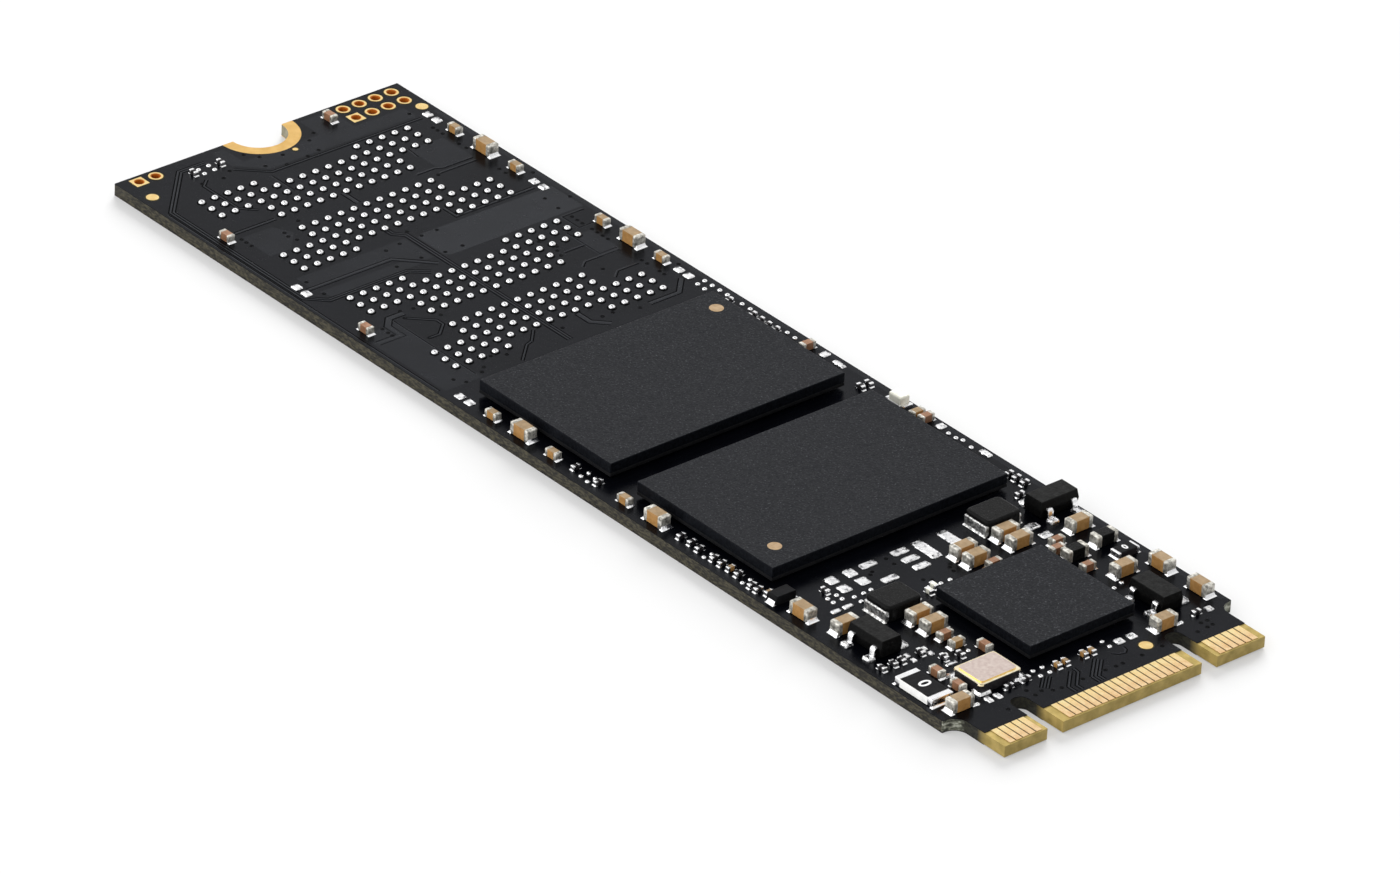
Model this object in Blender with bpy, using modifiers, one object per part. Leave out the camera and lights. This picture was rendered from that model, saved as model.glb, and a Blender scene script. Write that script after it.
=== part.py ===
"""A bare-board solid state drive.

A long circuit board carries a notched edge connector at +X and a half-round screw notch at -X. Between
them lie two bare memory sites, two memory packages, and a controller with its clock and power parts.
Nothing moves. The origin is under the middle of the board, on the plane that the board lies on.
Metres, +Z up.
"""

import math

import bmesh
import bpy
from mathutils import Matrix, Vector

# Clearances
SEAT_GAP = 0.00001
POCKET_GAP = 0.00002

# Board
BOARD_THICKNESS = 0.0008
SURFACE_LAYER = 0.00004
EDGE_STRIP = 0.0020
TONGUE_LENGTH = 0.0040
SHOULDER_RADIUS = 0.0009
SHOULDER_FLAT = 0.000175

# Key notches in the tongue
KEY_WIDTH = 0.0012
KEY_DEPTH = 0.0035

# Edge contacts: pin 1 is at the far side, odd pins on top and even pins underneath. Each key notch takes
# the place of the pins between two banks.
CONTACT_PITCH = 0.0005
CONTACT_WIDTH = 0.0004
CONTACT_LENGTH = 0.0016
CONTACT_SETBACK = 0.0001
CONTACT_ROOT = 0.0002
CONTACT_MARGIN = 0.000675
MIDDLE_PIN = 38
FAR_PINS = range(1, 12)
MIDDLE_PINS = range(20, 59)
NEAR_PINS = range(67, 76)

# Screw notch: the cut that frees the land's two faces reaches this many degrees each way, past its ends
SCREW_HOLE_RADIUS = 0.0019
SCREW_LAND_WIDTH = 0.0008
PLATING = 0.00004
LAND_CUT_REACH = 120

# Plated holes: a double row near the far corner and two near the near corner
HOLE_RADIUS = 0.00029
HOLE_PAD_RADIUS = 0.00056
HOLE_PAD_GAP = 0.00015
END_PAD_RIM = 0.00016
FAR_PAD_RIM = 0.00048
NEAR_PAD_RIM = 0.00078
HOLE_ROWS = 4
HOLE_COLUMNS = 2
NEAR_HOLES = 2

# Memory packages and the sites that they are soldered to
MEMORY_MARGIN = 0.0010
MEMORY_COVER = 0.00028
MEMORY_DIE_WIDTH = 0.0095
MEMORY_DIE_LENGTH = 0.0135
MEMORY_DIE_HEIGHT = 0.0004
MEMORY_Y = -0.0002
SITE_COUNT = 4
BARE_SITE_COUNT = 2
FIRST_SITE_FROM_END = 0.0100
SITE_GAP = 0.0024
SUBSTRATE_HEIGHT = 0.0002
BALL_PITCH = 0.0010
BALL_RADIUS = 0.00022
BALL_HEIGHT = 0.0002
BALL_ROWS_EACH_WAY = 8
BALL_COLUMNS_EACH_WAY = 5
BALL_SIDES = 4

# Blocks of the ball field: from this row outwards, the first and last column with a ball
BALL_BLOCKS = ((6, (3, 5)), (4, (1, 5)), (0, (1, 4)))

# Solder bumps on a bare memory site
BUMP_RADIUS = 0.00026
BUMP_TOP_RADIUS = 0.00014
BUMP_HEIGHT = 0.00022
BUMP_SIDES = 6
BUMP_WEB = 0.00002

# Controller
CONTROLLER_MARGIN = 0.0010
CONTROLLER_COVER = 0.00032
CONTROLLER_DIE_SIDE = 0.0050
CONTROLLER_DIE_HEIGHT = 0.0003
CONTROLLER_FROM_MEMORY = 0.0110
CONTROLLER_FROM_TIP = 0.0098
CONTROLLER_Y = 0.0011
CONTROLLER_BALL_PITCH = 0.0010
CONTROLLER_BALLS_EACH_WAY = 3
CONTROLLER_BALL_RADIUS = 0.0002

# Oscillator
OSCILLATOR_WIDTH = 0.0025
OSCILLATOR_LENGTH = 0.0032
OSCILLATOR_BASE_HEIGHT = 0.00048
OSCILLATOR_WALL = 0.0003
OSCILLATOR_FLOOR = 0.00016
OSCILLATOR_CORNER = 0.0003
SEAL_RING_HEIGHT = 0.0001
SEAL_RING_WIDTH = 0.0002
SEAL_RING_INSET = 0.00005
LID_HEIGHT = 0.00008
LID_LAP = 0.00008
CRYSTAL_WIDTH = 0.0013
CRYSTAL_LENGTH = 0.0020
CRYSTAL_HEIGHT = 0.00006

# Inductors
INDUCTOR_LENGTH = 0.0025
INDUCTOR_WALL = 0.00028
INDUCTOR_COVER = 0.0005
INDUCTOR_ROUNDING = 0.00018
TERMINAL_SKIN = 0.00004
TERMINAL_HEIGHT = 0.0006
TERMINAL_INSET = 0.0001
COIL_INNER_RADIUS = 0.00042
COIL_OUTER_RADIUS = 0.00072
COIL_HEIGHT = 0.0005
COIL_SIDES = 16

# Regulators: small moulded bodies with two leads on one side and three on the other
REGULATOR_WALL = 0.0003
REGULATOR_HEIGHT = 0.00105
REGULATOR_STANDOFF = 0.0001
REGULATOR_DRAFT = 0.00012
LEAD_PITCH = 0.00095
LEAD_WIDTH = 0.0004
LEAD_THICKNESS = 0.00012
LEAD_LEVEL = 0.0006
LEAD_RISER = 0.00012
LEAD_REACH = 0.0006
PADDLE_WIDTH = 0.0010
FRONT_LEADS = (-1, 1)
BACK_LEADS = (-1, 0, 1)

# Two-ended chips: length, width and height, then the length and skin of the metal ends
CAPACITOR_SIZE = (0.0016, 0.0008, 0.0008)
BEAD_SIZE = (0.0016, 0.0008, 0.00078)
RESISTOR_SIZE = (0.0016, 0.0008, 0.00045)
LARGE_JUMPER_SIZE = (0.0032, 0.0016, 0.00055)
CHIP_END = 0.00035
CHIP_SKIN = 0.00002

# Indicator light
LIGHT_BASE_SIZE = (0.0016, 0.0008, 0.0002)
LIGHT_LENS_SIZE = (0.0011, 0.00076, 0.0005)

# Capacitors half way between a memory site and a long edge: site, way along from its middle, and edge
FAR_EDGE = 1
NEAR_EDGE = -1
SITE_CAPACITORS = (
    (0, 0.0000, FAR_EDGE),
    (1, -0.0004, FAR_EDGE),
    (2, -0.0008, NEAR_EDGE),
    (3, -0.0031, NEAR_EDGE),
)

# Capacitors along a long edge near the controller: way along from its middle, edge, and way in from the edge
EDGE_CAPACITORS = (
    (-0.00735, NEAR_EDGE, 0.0010),
    (0.00080, FAR_EDGE, 0.0008),
    (0.00405, FAR_EDGE, 0.0008),
)

# Chips that lie across the board: way along and across from the controller's middle
CROSS_CAPACITORS = (
    (-0.00705, 0.00405),
    (-0.00590, 0.00405),
    (-0.00700, 0.00075),
    (-0.00590, 0.00075),
    (-0.00530, 0.00815),
    (-0.00005, 0.00685),
    (0.00565, 0.00475),
    (0.00530, -0.01045),
    (-0.00480, -0.01020),
    (-0.00315, -0.00605),
    (-0.00190, -0.00605),
)
CROSS_BEADS = ((-0.00325, 0.00825), (-0.00300, 0.00575))
CROSS_RESISTOR = (-0.00945, -0.01090)
SMALL_JUMPER = (-0.00160, 0.00840)
LARGE_JUMPER = (0.00285, -0.01095)
OSCILLATOR = (0.00375, -0.00700)
INDUCTORS = ((-0.00860, 0.00445), (-0.00490, -0.00645))
REGULATORS = ((-0.00795, 0.00840, 90), (-0.00255, -0.00990, 0), (0.00330, 0.00630, 0))

# The indicator light lies along the far edge beside the last memory site
LIGHT_FROM_SITE = -0.0052
LIGHT_FROM_EDGE = 0.0007

# Round shapes: steps and angles in degrees
ARC_STEP = 7.5
CORNER_STEP = 30
SMALL_CIRCLE_SIDES = 16
SHARP_ANGLE = 40
DRAWING_SCALE = 1000
WELD = 0.0000002

# What follows from the sizes above
MEMORY_WIDTH = 2 * (BALL_COLUMNS_EACH_WAY * BALL_PITCH + MEMORY_MARGIN)
MEMORY_LENGTH = 2 * (BALL_ROWS_EACH_WAY * BALL_PITCH + MEMORY_MARGIN)
CONTROLLER_SIDE = 2 * (CONTROLLER_BALLS_EACH_WAY * CONTROLLER_BALL_PITCH + CONTROLLER_MARGIN)
TONGUE_Y = (MIDDLE_PIN - FAR_PINS[0]) * CONTACT_PITCH / 2 + CONTACT_MARGIN
FAR_Y = max(TONGUE_Y + SHOULDER_RADIUS + SHOULDER_FLAT, MEMORY_LENGTH / 2 + EDGE_STRIP)
SITE_PITCH = MEMORY_WIDTH + SITE_GAP
LAST_SITE_FROM_TIP = MEMORY_WIDTH / 2 + CONTROLLER_FROM_MEMORY + CONTROLLER_FROM_TIP
BOARD_LENGTH = FIRST_SITE_FROM_END + (SITE_COUNT - 1) * SITE_PITCH + LAST_SITE_FROM_TIP
TIP_X = BOARD_LENGTH / 2
END_X = -BOARD_LENGTH / 2
SHOULDER_X = TIP_X - TONGUE_LENGTH
CONTACT_ROOT_X = TIP_X - CONTACT_SETBACK - CONTACT_LENGTH
MASK_END_X = CONTACT_ROOT_X - SEAT_GAP
SHEET = SURFACE_LAYER - SEAT_GAP
TOP_SHEET_Z = BOARD_THICKNESS - SHEET
SEAT_Z = BOARD_THICKNESS + SEAT_GAP
SCREW_LAND_RADIUS = SCREW_HOLE_RADIUS + SCREW_LAND_WIDTH
HOLE_PITCH = 2 * HOLE_PAD_RADIUS + HOLE_PAD_GAP
FIRST_SITE_X = END_X + FIRST_SITE_FROM_END
CONTROLLER_X = TIP_X - CONTROLLER_FROM_TIP
INDUCTOR_WIDTH = 2 * (COIL_OUTER_RADIUS + INDUCTOR_WALL)
INDUCTOR_HEIGHT = COIL_HEIGHT + INDUCTOR_COVER
TERMINAL_WIDTH = INDUCTOR_WIDTH - 2 * TERMINAL_INSET
PADDLE_LENGTH = 2 * LEAD_PITCH + LEAD_WIDTH
REGULATOR_LENGTH = PADDLE_LENGTH + 2 * REGULATOR_WALL
REGULATOR_WIDTH = PADDLE_WIDTH + 2 * REGULATOR_WALL

# Colour, roughness and metallic value of each finish
FINISHES = {
    "laminate": ((0.20, 0.18, 0.07), 0.5, 0.0),
    "solder_mask": ((0.012, 0.013, 0.016), 0.45, 0.0),
    "gold": ((0.83, 0.56, 0.22), 0.3, 1.0),
    "solder": ((0.75, 0.76, 0.78), 0.25, 1.0),
    "mould": ((0.022, 0.023, 0.026), 0.6, 0.0),
    "substrate": ((0.02, 0.03, 0.025), 0.5, 0.0),
    "silicon": ((0.10, 0.10, 0.12), 0.2, 0.3),
    "black_ceramic": ((0.02, 0.018, 0.02), 0.4, 0.0),
    "lid": ((0.72, 0.64, 0.62), 0.3, 1.0),
    "quartz": ((0.80, 0.82, 0.85), 0.05, 0.0),
    "ferrite": ((0.02, 0.02, 0.02), 0.5, 0.0),
    "tan_ceramic": ((0.45, 0.30, 0.18), 0.5, 0.0),
    "resistor": ((0.02, 0.02, 0.02), 0.4, 0.0),
    "lens": ((0.80, 0.80, 0.72), 0.4, 0.0),
}


def clear_scene():
    for obj in list(bpy.data.objects):
        bpy.data.objects.remove(obj, do_unlink=True)


def finish(name):
    """The material of this name, made on first use."""
    made = bpy.data.materials.get(name)
    if made:
        return made
    colour, roughness, metallic = FINISHES[name]
    made = bpy.data.materials.new(name)
    made.use_nodes = True
    shader = made.node_tree.nodes["Principled BSDF"]
    shader.inputs["Base Color"].default_value = (*colour, 1)
    shader.inputs["Roughness"].default_value = roughness
    shader.inputs["Metallic"].default_value = metallic
    return made


def new_collection(name):
    collection = bpy.data.collections.new(name)
    bpy.context.scene.collection.children.link(collection)
    return collection


def place(name, mesh, finish_name, location=(0, 0, 0), turn=0):
    """A part of the drive, turned by degrees about the vertical through its location."""
    part = bpy.data.objects.new(name, mesh)
    if not mesh.materials:
        mesh.materials.append(finish(finish_name))
    part.location = location
    part.rotation_euler = (0, 0, math.radians(turn))
    part.parent = DRIVE
    PARTS.objects.link(part)
    return part


def cutter(name, mesh, owner):
    """A helper that cuts or joins its owner, placed with it and left out of the drive."""
    helper = bpy.data.objects.new(name, mesh)
    helper.location = owner.location
    helper.rotation_euler = owner.rotation_euler
    helper.hide_render = True
    helper.display_type = "WIRE"
    CUTTERS.objects.link(helper)
    return helper


def boolean(owner, helper, operation):
    modifier = owner.modifiers.new(helper.name, "BOOLEAN")
    modifier.object = helper
    modifier.operation = operation
    modifier.solver = "EXACT"


def finished_mesh(part):
    """The part's mesh with its modifiers carried out, for copies to share."""
    bpy.context.view_layer.update()
    graph = bpy.context.evaluated_depsgraph_get()
    return bpy.data.meshes.new_from_object(part.evaluated_get(graph))


def mesh_from(name, shape):
    mesh = bpy.data.meshes.new(name)
    shape.to_mesh(mesh)
    shape.free()
    mesh.shade_smooth()
    mesh.set_sharp_from_angle(angle=math.radians(SHARP_ANGLE))
    return mesh


def add_block(shape, size, base=(0, 0, 0)):
    """Adds a box to the shape, with the middle of its bottom face at base."""
    middle = Vector(base) + Vector((0, 0, size[2] / 2))
    fit = Matrix.LocRotScale(middle, None, Vector(size))
    return bmesh.ops.create_cube(shape, size=1, matrix=fit)["verts"]


def block_mesh(name, *blocks):
    """Boxes given as (size, base)."""
    shape = bmesh.new()
    for size, base in blocks:
        add_block(shape, size, base)
    return mesh_from(name, shape)


def studs_mesh(name, points, bottom, height, radii, sides):
    """One upright stud at each point, from its lower to its upper radius."""
    shape = bmesh.new()
    for x, y in points:
        bmesh.ops.create_cone(
            shape,
            cap_ends=True,
            segments=sides,
            radius1=radii[0],
            radius2=radii[1],
            depth=height,
            matrix=Matrix.Translation((x, y, bottom + height / 2)),
        )
    return mesh_from(name, shape)


def arc(centre, radius, start, end, step=ARC_STEP):
    """Points along an arc, with its ends, from start to end in degrees."""
    count = max(2, round(abs(end - start) / step))
    angles = [math.radians(start + (end - start) * i / count) for i in range(count + 1)]
    return [(centre[0] + radius * math.cos(a), centre[1] + radius * math.sin(a)) for a in angles]


def circle(centre, radius, sides):
    return arc(centre, radius, 0, 360, 360 / sides)[:-1]


def rounded_rectangle(width, length, corner):
    points = []
    for sign_x, sign_y, start in ((1, 1, 0), (-1, 1, 90), (-1, -1, 180), (1, -1, 270)):
        middle = (sign_x * (width / 2 - corner), sign_y * (length / 2 - corner))
        points += arc(middle, corner, start, start + 90, CORNER_STEP)
    return points


def sheet_mesh(name, outlines, thickness):
    """A flat sheet from z = 0 up. The first outline is its edge and the others are holes in it.

    The outlines are filled at a larger scale, because filling a curve merges points that are very close.
    """
    curve = bpy.data.curves.new(name, "CURVE")
    curve.dimensions = "2D"
    curve.fill_mode = "BOTH"
    curve.extrude = thickness * DRAWING_SCALE / 2
    for outline in outlines:
        spline = curve.splines.new("POLY")
        spline.points.add(len(outline) - 1)
        for point, (x, y) in zip(spline.points, outline):
            point.co = (x * DRAWING_SCALE, y * DRAWING_SCALE, 0, 1)
        spline.use_cyclic_u = True
    guide = bpy.data.objects.new(name, curve)
    bpy.context.scene.collection.objects.link(guide)
    drawn = finished_mesh(guide)
    bpy.data.objects.remove(guide)
    shape = bmesh.new()
    shape.from_mesh(drawn)
    bpy.data.meshes.remove(drawn)
    bmesh.ops.remove_doubles(shape, verts=shape.verts, dist=WELD * DRAWING_SCALE)
    bmesh.ops.recalc_face_normals(shape, faces=shape.faces)
    bmesh.ops.scale(shape, verts=shape.verts, vec=[1 / DRAWING_SCALE] * 3)
    bmesh.ops.translate(shape, verts=shape.verts, vec=(0, 0, thickness / 2))
    return mesh_from(name, shape)


def pin_y(pin):
    return (MIDDLE_PIN - pin) * CONTACT_PITCH / 2


def board_outline(end_x, notch_radius):
    """The board's edge, with its +X end at end_x and a screw notch of this radius."""
    key_radius = KEY_WIDTH / 2
    key_x = TIP_X - KEY_DEPTH + key_radius
    fillet_x = SHOULDER_X + SHOULDER_RADIUS
    fillet_y = TONGUE_Y + SHOULDER_RADIUS
    outline = [(END_X, -FAR_Y), (SHOULDER_X, -FAR_Y)]
    outline += arc((fillet_x, -fillet_y), SHOULDER_RADIUS, 180, 90)
    outline += [(end_x, -TONGUE_Y)]
    near_key_pin = (MIDDLE_PINS[-1] + NEAR_PINS[0]) / 2
    far_key_pin = (FAR_PINS[-1] + MIDDLE_PINS[0]) / 2
    for key_y in (pin_y(near_key_pin), pin_y(far_key_pin)):
        outline += [(end_x, key_y - key_radius)]
        outline += arc((key_x, key_y), key_radius, 270, 90)
        outline += [(end_x, key_y + key_radius)]
    outline += [(end_x, TONGUE_Y)]
    outline += arc((fillet_x, fillet_y), SHOULDER_RADIUS, 270, 180)
    outline += [(SHOULDER_X, FAR_Y), (END_X, FAR_Y)]
    outline += arc((END_X, 0), notch_radius, 90, -90)
    return outline


def hole_places():
    """Middles of the plated holes."""
    first_x = END_X + END_PAD_RIM + HOLE_PAD_RADIUS
    from_far = FAR_PAD_RIM + HOLE_PAD_RADIUS
    from_near = NEAR_PAD_RIM + HOLE_PAD_RADIUS
    places = []
    for row in range(HOLE_ROWS):
        for column in range(HOLE_COLUMNS):
            places.append((first_x + column * HOLE_PITCH, FAR_Y - from_far - row * HOLE_PITCH))
    for row in range(NEAR_HOLES):
        places.append((first_x, -FAR_Y + from_near + row * HOLE_PITCH))
    return places


def build_board():
    holes = hole_places()
    core_notch = SCREW_HOLE_RADIUS + PLATING + SEAT_GAP
    core = [board_outline(TIP_X, core_notch)]
    core += [circle(hole, HOLE_RADIUS, SMALL_CIRCLE_SIDES) for hole in holes]
    core_height = BOARD_THICKNESS - 2 * SURFACE_LAYER
    place("laminate_core", sheet_mesh("laminate_core", core, core_height), "laminate", (0, 0, SURFACE_LAYER))

    mask = [board_outline(MASK_END_X, SCREW_LAND_RADIUS + SEAT_GAP)]
    mask += [circle(hole, HOLE_PAD_RADIUS, SMALL_CIRCLE_SIDES) for hole in holes]
    mask_mesh = sheet_mesh("solder_mask", mask, SHEET)
    place("solder_mask_top", mask_mesh, "solder_mask", (0, 0, TOP_SHEET_Z))
    place("solder_mask_bottom", mask_mesh, "solder_mask")


def half_ring(inner_radius, outer_radius, reach=90):
    """A ring round the screw notch's middle that reaches this many degrees each way from +X."""
    middle = (END_X, 0)
    return [arc(middle, outer_radius, -reach, reach) + arc(middle, inner_radius, reach, -reach)]


def build_screw_land():
    """Plating on both faces round the screw notch, joined by the plating down the notch's wall."""
    whole = half_ring(SCREW_HOLE_RADIUS, SCREW_LAND_RADIUS)
    land = place("screw_land", sheet_mesh("screw_land", whole, BOARD_THICKNESS), "gold")
    board_room = half_ring(SCREW_HOLE_RADIUS + PLATING, SCREW_LAND_RADIUS + SCREW_LAND_WIDTH, LAND_CUT_REACH)
    room = cutter("screw_land_room", sheet_mesh("screw_land_room", board_room, TOP_SHEET_Z - SHEET), land)
    room.location.z = SHEET
    boolean(land, room, "DIFFERENCE")


def contact_bank(name, pins, height):
    """A bank of contact fingers, joined at their roots by the strip that feeds them."""
    tip_x = TIP_X - CONTACT_SETBACK
    gap_x = CONTACT_ROOT_X + CONTACT_ROOT
    half = CONTACT_WIDTH / 2
    rows = sorted(pin_y(pin) for pin in pins)
    outline = [(CONTACT_ROOT_X, rows[0] - half), (tip_x, rows[0] - half)]
    for y, next_y in zip(rows, rows[1:]):
        outline += [(tip_x, y + half), (gap_x, y + half), (gap_x, next_y - half), (tip_x, next_y - half)]
    outline += [(tip_x, rows[-1] + half), (CONTACT_ROOT_X, rows[-1] + half)]
    place(name, sheet_mesh(name, [outline], SHEET), "gold", (0, 0, height))


def build_contacts():
    banks = (("far", FAR_PINS), ("middle", MIDDLE_PINS), ("near", NEAR_PINS))
    for bank, pins in banks:
        contact_bank("contacts_top_" + bank, [pin for pin in pins if pin % 2], TOP_SHEET_Z)
        contact_bank("contacts_bottom_" + bank, [pin for pin in pins if not pin % 2], 0)


def memory_ball_places():
    """The ball field of a memory package, row by row, the same on both sides of its middle line."""
    places = []
    for row in range(-BALL_ROWS_EACH_WAY, BALL_ROWS_EACH_WAY + 1):
        first, last = next(columns for from_row, columns in BALL_BLOCKS if abs(row) >= from_row)
        for column in range(first, last + 1):
            places.append((column * BALL_PITCH, row * BALL_PITCH))
            places.append((-column * BALL_PITCH, row * BALL_PITCH))
    return places


def build_bare_site(number, x, balls):
    """Solder bumps on an empty memory site, held together by the thin film that they stand on."""
    name = f"memory_site_{number}_bumps"
    reach_x = max(ball[0] for ball in balls) + BUMP_RADIUS
    reach_y = max(ball[1] for ball in balls) + BUMP_RADIUS
    web_size = (2 * reach_x, 2 * reach_y, BUMP_WEB)
    web = place(name, block_mesh(name, (web_size, (0, 0, 0))), "solder", (x, MEMORY_Y, SEAT_Z))
    radii = (BUMP_RADIUS, BUMP_TOP_RADIUS)
    bumps = studs_mesh(name + "_studs", balls, BUMP_WEB / 2, BUMP_HEIGHT, radii, BUMP_SIDES)
    boolean(web, cutter(name + "_studs", bumps, web), "UNION")


def build_package(name, middle, size, cover_height, die_size, balls, ball_radius):
    """A moulded package: cover, die in a pocket under it, and substrate standing on its solder balls."""
    x, y = middle
    width, length = size
    substrate_z = SEAT_Z + BALL_HEIGHT
    die_z = substrate_z + SUBSTRATE_HEIGHT + SEAT_GAP

    base_name = name + "_substrate"
    base_size = (width, length, SUBSTRATE_HEIGHT)
    base = place(base_name, block_mesh(base_name, (base_size, (0, 0, 0))), "substrate", (x, y, substrate_z))
    stud_height = BALL_HEIGHT + SUBSTRATE_HEIGHT / 2
    radii = (ball_radius, ball_radius)
    studs = studs_mesh(base_name + "_balls", balls, -BALL_HEIGHT, stud_height, radii, BALL_SIDES)
    boolean(base, cutter(base_name + "_balls", studs, base), "UNION")

    die_name = name + "_die"
    place(die_name, block_mesh(die_name, (die_size, (0, 0, 0))), "silicon", (x, y, die_z))

    cover_name = name + "_cover"
    cover_size = (width, length, die_size[2] + cover_height)
    cover = place(cover_name, block_mesh(cover_name, (cover_size, (0, 0, 0))), "mould", (x, y, die_z))
    pocket_size = (
        die_size[0] + 2 * POCKET_GAP,
        die_size[1] + 2 * POCKET_GAP,
        2 * (die_size[2] + POCKET_GAP),
    )
    pocket = block_mesh(cover_name + "_pocket", (pocket_size, (0, 0, -pocket_size[2] / 2)))
    boolean(cover, cutter(cover_name + "_pocket", pocket, cover), "DIFFERENCE")


def site_x(site):
    return FIRST_SITE_X + site * SITE_PITCH


def build_memory():
    balls = memory_ball_places()
    die_size = (MEMORY_DIE_WIDTH, MEMORY_DIE_LENGTH, MEMORY_DIE_HEIGHT)
    for site in range(SITE_COUNT):
        if site < BARE_SITE_COUNT:
            build_bare_site(site + 1, site_x(site), balls)
            continue
        build_package(
            f"memory_{site + 1}",
            (site_x(site), MEMORY_Y),
            (MEMORY_WIDTH, MEMORY_LENGTH),
            MEMORY_COVER,
            die_size,
            balls,
            BALL_RADIUS,
        )


def build_controller():
    steps = range(-CONTROLLER_BALLS_EACH_WAY, CONTROLLER_BALLS_EACH_WAY + 1)
    balls = [(i * CONTROLLER_BALL_PITCH, j * CONTROLLER_BALL_PITCH) for i in steps for j in steps]
    build_package(
        "controller",
        (CONTROLLER_X, CONTROLLER_Y),
        (CONTROLLER_SIDE, CONTROLLER_SIDE),
        CONTROLLER_COVER,
        (CONTROLLER_DIE_SIDE, CONTROLLER_DIE_SIDE, CONTROLLER_DIE_HEIGHT),
        balls,
        CONTROLLER_BALL_RADIUS,
    )


def by_controller(offset):
    return (CONTROLLER_X + offset[0], CONTROLLER_Y + offset[1])


def build_oscillator():
    """A ceramic cup with a quartz blank in it, closed by a seal ring and a lid."""
    x, y = by_controller(OSCILLATOR)
    outline = rounded_rectangle(OSCILLATOR_WIDTH, OSCILLATOR_LENGTH, OSCILLATOR_CORNER)
    base_mesh = sheet_mesh("oscillator_base", [outline], OSCILLATOR_BASE_HEIGHT)
    base = place("oscillator_base", base_mesh, "black_ceramic", (x, y, SEAT_Z))
    room_width = OSCILLATOR_WIDTH - 2 * OSCILLATOR_WALL
    room_length = OSCILLATOR_LENGTH - 2 * OSCILLATOR_WALL
    room_size = (room_width, room_length, OSCILLATOR_BASE_HEIGHT)
    room = block_mesh("oscillator_room", (room_size, (0, 0, OSCILLATOR_FLOOR)))
    boolean(base, cutter("oscillator_room", room, base), "DIFFERENCE")

    crystal_z = SEAT_Z + OSCILLATOR_FLOOR + SEAT_GAP
    crystal_size = (CRYSTAL_WIDTH, CRYSTAL_LENGTH, CRYSTAL_HEIGHT)
    crystal = block_mesh("oscillator_crystal", (crystal_size, (0, 0, 0)))
    place("oscillator_crystal", crystal, "quartz", (x, y, crystal_z))

    ring_width = OSCILLATOR_WIDTH - 2 * SEAL_RING_INSET
    ring_length = OSCILLATOR_LENGTH - 2 * SEAL_RING_INSET
    ring_corner = OSCILLATOR_CORNER - SEAL_RING_INSET
    hole_width = ring_width - 2 * SEAL_RING_WIDTH
    hole_length = ring_length - 2 * SEAL_RING_WIDTH
    hole_corner = ring_corner / 2
    ring_outlines = [
        rounded_rectangle(ring_width, ring_length, ring_corner),
        rounded_rectangle(hole_width, hole_length, hole_corner),
    ]
    ring_z = SEAT_Z + OSCILLATOR_BASE_HEIGHT + SEAT_GAP
    ring = sheet_mesh("oscillator_seal_ring", ring_outlines, SEAL_RING_HEIGHT)
    place("oscillator_seal_ring", ring, "gold", (x, y, ring_z))

    lid_outline = rounded_rectangle(hole_width + 2 * LID_LAP, hole_length + 2 * LID_LAP, ring_corner)
    lid_z = ring_z + SEAL_RING_HEIGHT + SEAT_GAP
    lid = sheet_mesh("oscillator_lid", [lid_outline], LID_HEIGHT)
    place("oscillator_lid", lid, "lid", (x, y, lid_z))


def coil_ring(clearance):
    """The coil seen from above, grown on every side by the clearance."""
    outer = circle((0, 0), COIL_OUTER_RADIUS + clearance, COIL_SIDES)
    inner = circle((0, 0), COIL_INNER_RADIUS - clearance, COIL_SIDES)
    return [outer, inner]


def build_inductor_core(name, x, y):
    """A moulded core, rounded, with a ring-shaped pocket for the coil open at its underside."""
    core_z = TERMINAL_SKIN + POCKET_GAP
    core_length = INDUCTOR_LENGTH - 2 * core_z
    core_size = (INDUCTOR_WIDTH, core_length, INDUCTOR_HEIGHT - core_z)
    core = place(name, block_mesh(name, (core_size, (0, 0, 0))), "ferrite", (x, y, SEAT_Z + core_z))
    rounding = core.modifiers.new("rounded edges", "BEVEL")
    rounding.width = INDUCTOR_ROUNDING
    rounding.segments = 2
    pocket_depth = COIL_HEIGHT + POCKET_GAP - core_z
    pocket = sheet_mesh(name + "_pocket", coil_ring(POCKET_GAP), 2 * pocket_depth)
    helper = cutter(name + "_pocket", pocket, core)
    helper.location.z -= pocket_depth
    boolean(core, helper, "DIFFERENCE")


def build_inductor_coil(name, x, y):
    """A coil whose two ends come out under the core and turn up its ends as terminals."""
    coil = place(name, sheet_mesh(name, coil_ring(0), COIL_HEIGHT), "solder", (x, y, SEAT_Z))
    foot_length = INDUCTOR_LENGTH / 2 - (COIL_INNER_RADIUS + COIL_OUTER_RADIUS) / 2
    foot_size = (TERMINAL_WIDTH, foot_length, TERMINAL_SKIN)
    end_size = (TERMINAL_WIDTH, TERMINAL_SKIN, TERMINAL_HEIGHT)
    foot_y = (INDUCTOR_LENGTH - foot_length) / 2
    end_y = (INDUCTOR_LENGTH - TERMINAL_SKIN) / 2
    for side, way in (("near", -1), ("far", 1)):
        foot = block_mesh(f"{name}_{side}_foot", (foot_size, (0, way * foot_y, 0)))
        boolean(coil, cutter(foot.name, foot, coil), "UNION")
        end = block_mesh(f"{name}_{side}_end", (end_size, (0, way * end_y, 0)))
        boolean(coil, cutter(end.name, end, coil), "UNION")


def build_inductors():
    for number, offset in enumerate(INDUCTORS, 1):
        x, y = by_controller(offset)
        build_inductor_core(f"inductor_{number}_core", x, y)
        build_inductor_coil(f"inductor_{number}_coil", x, y)


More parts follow.
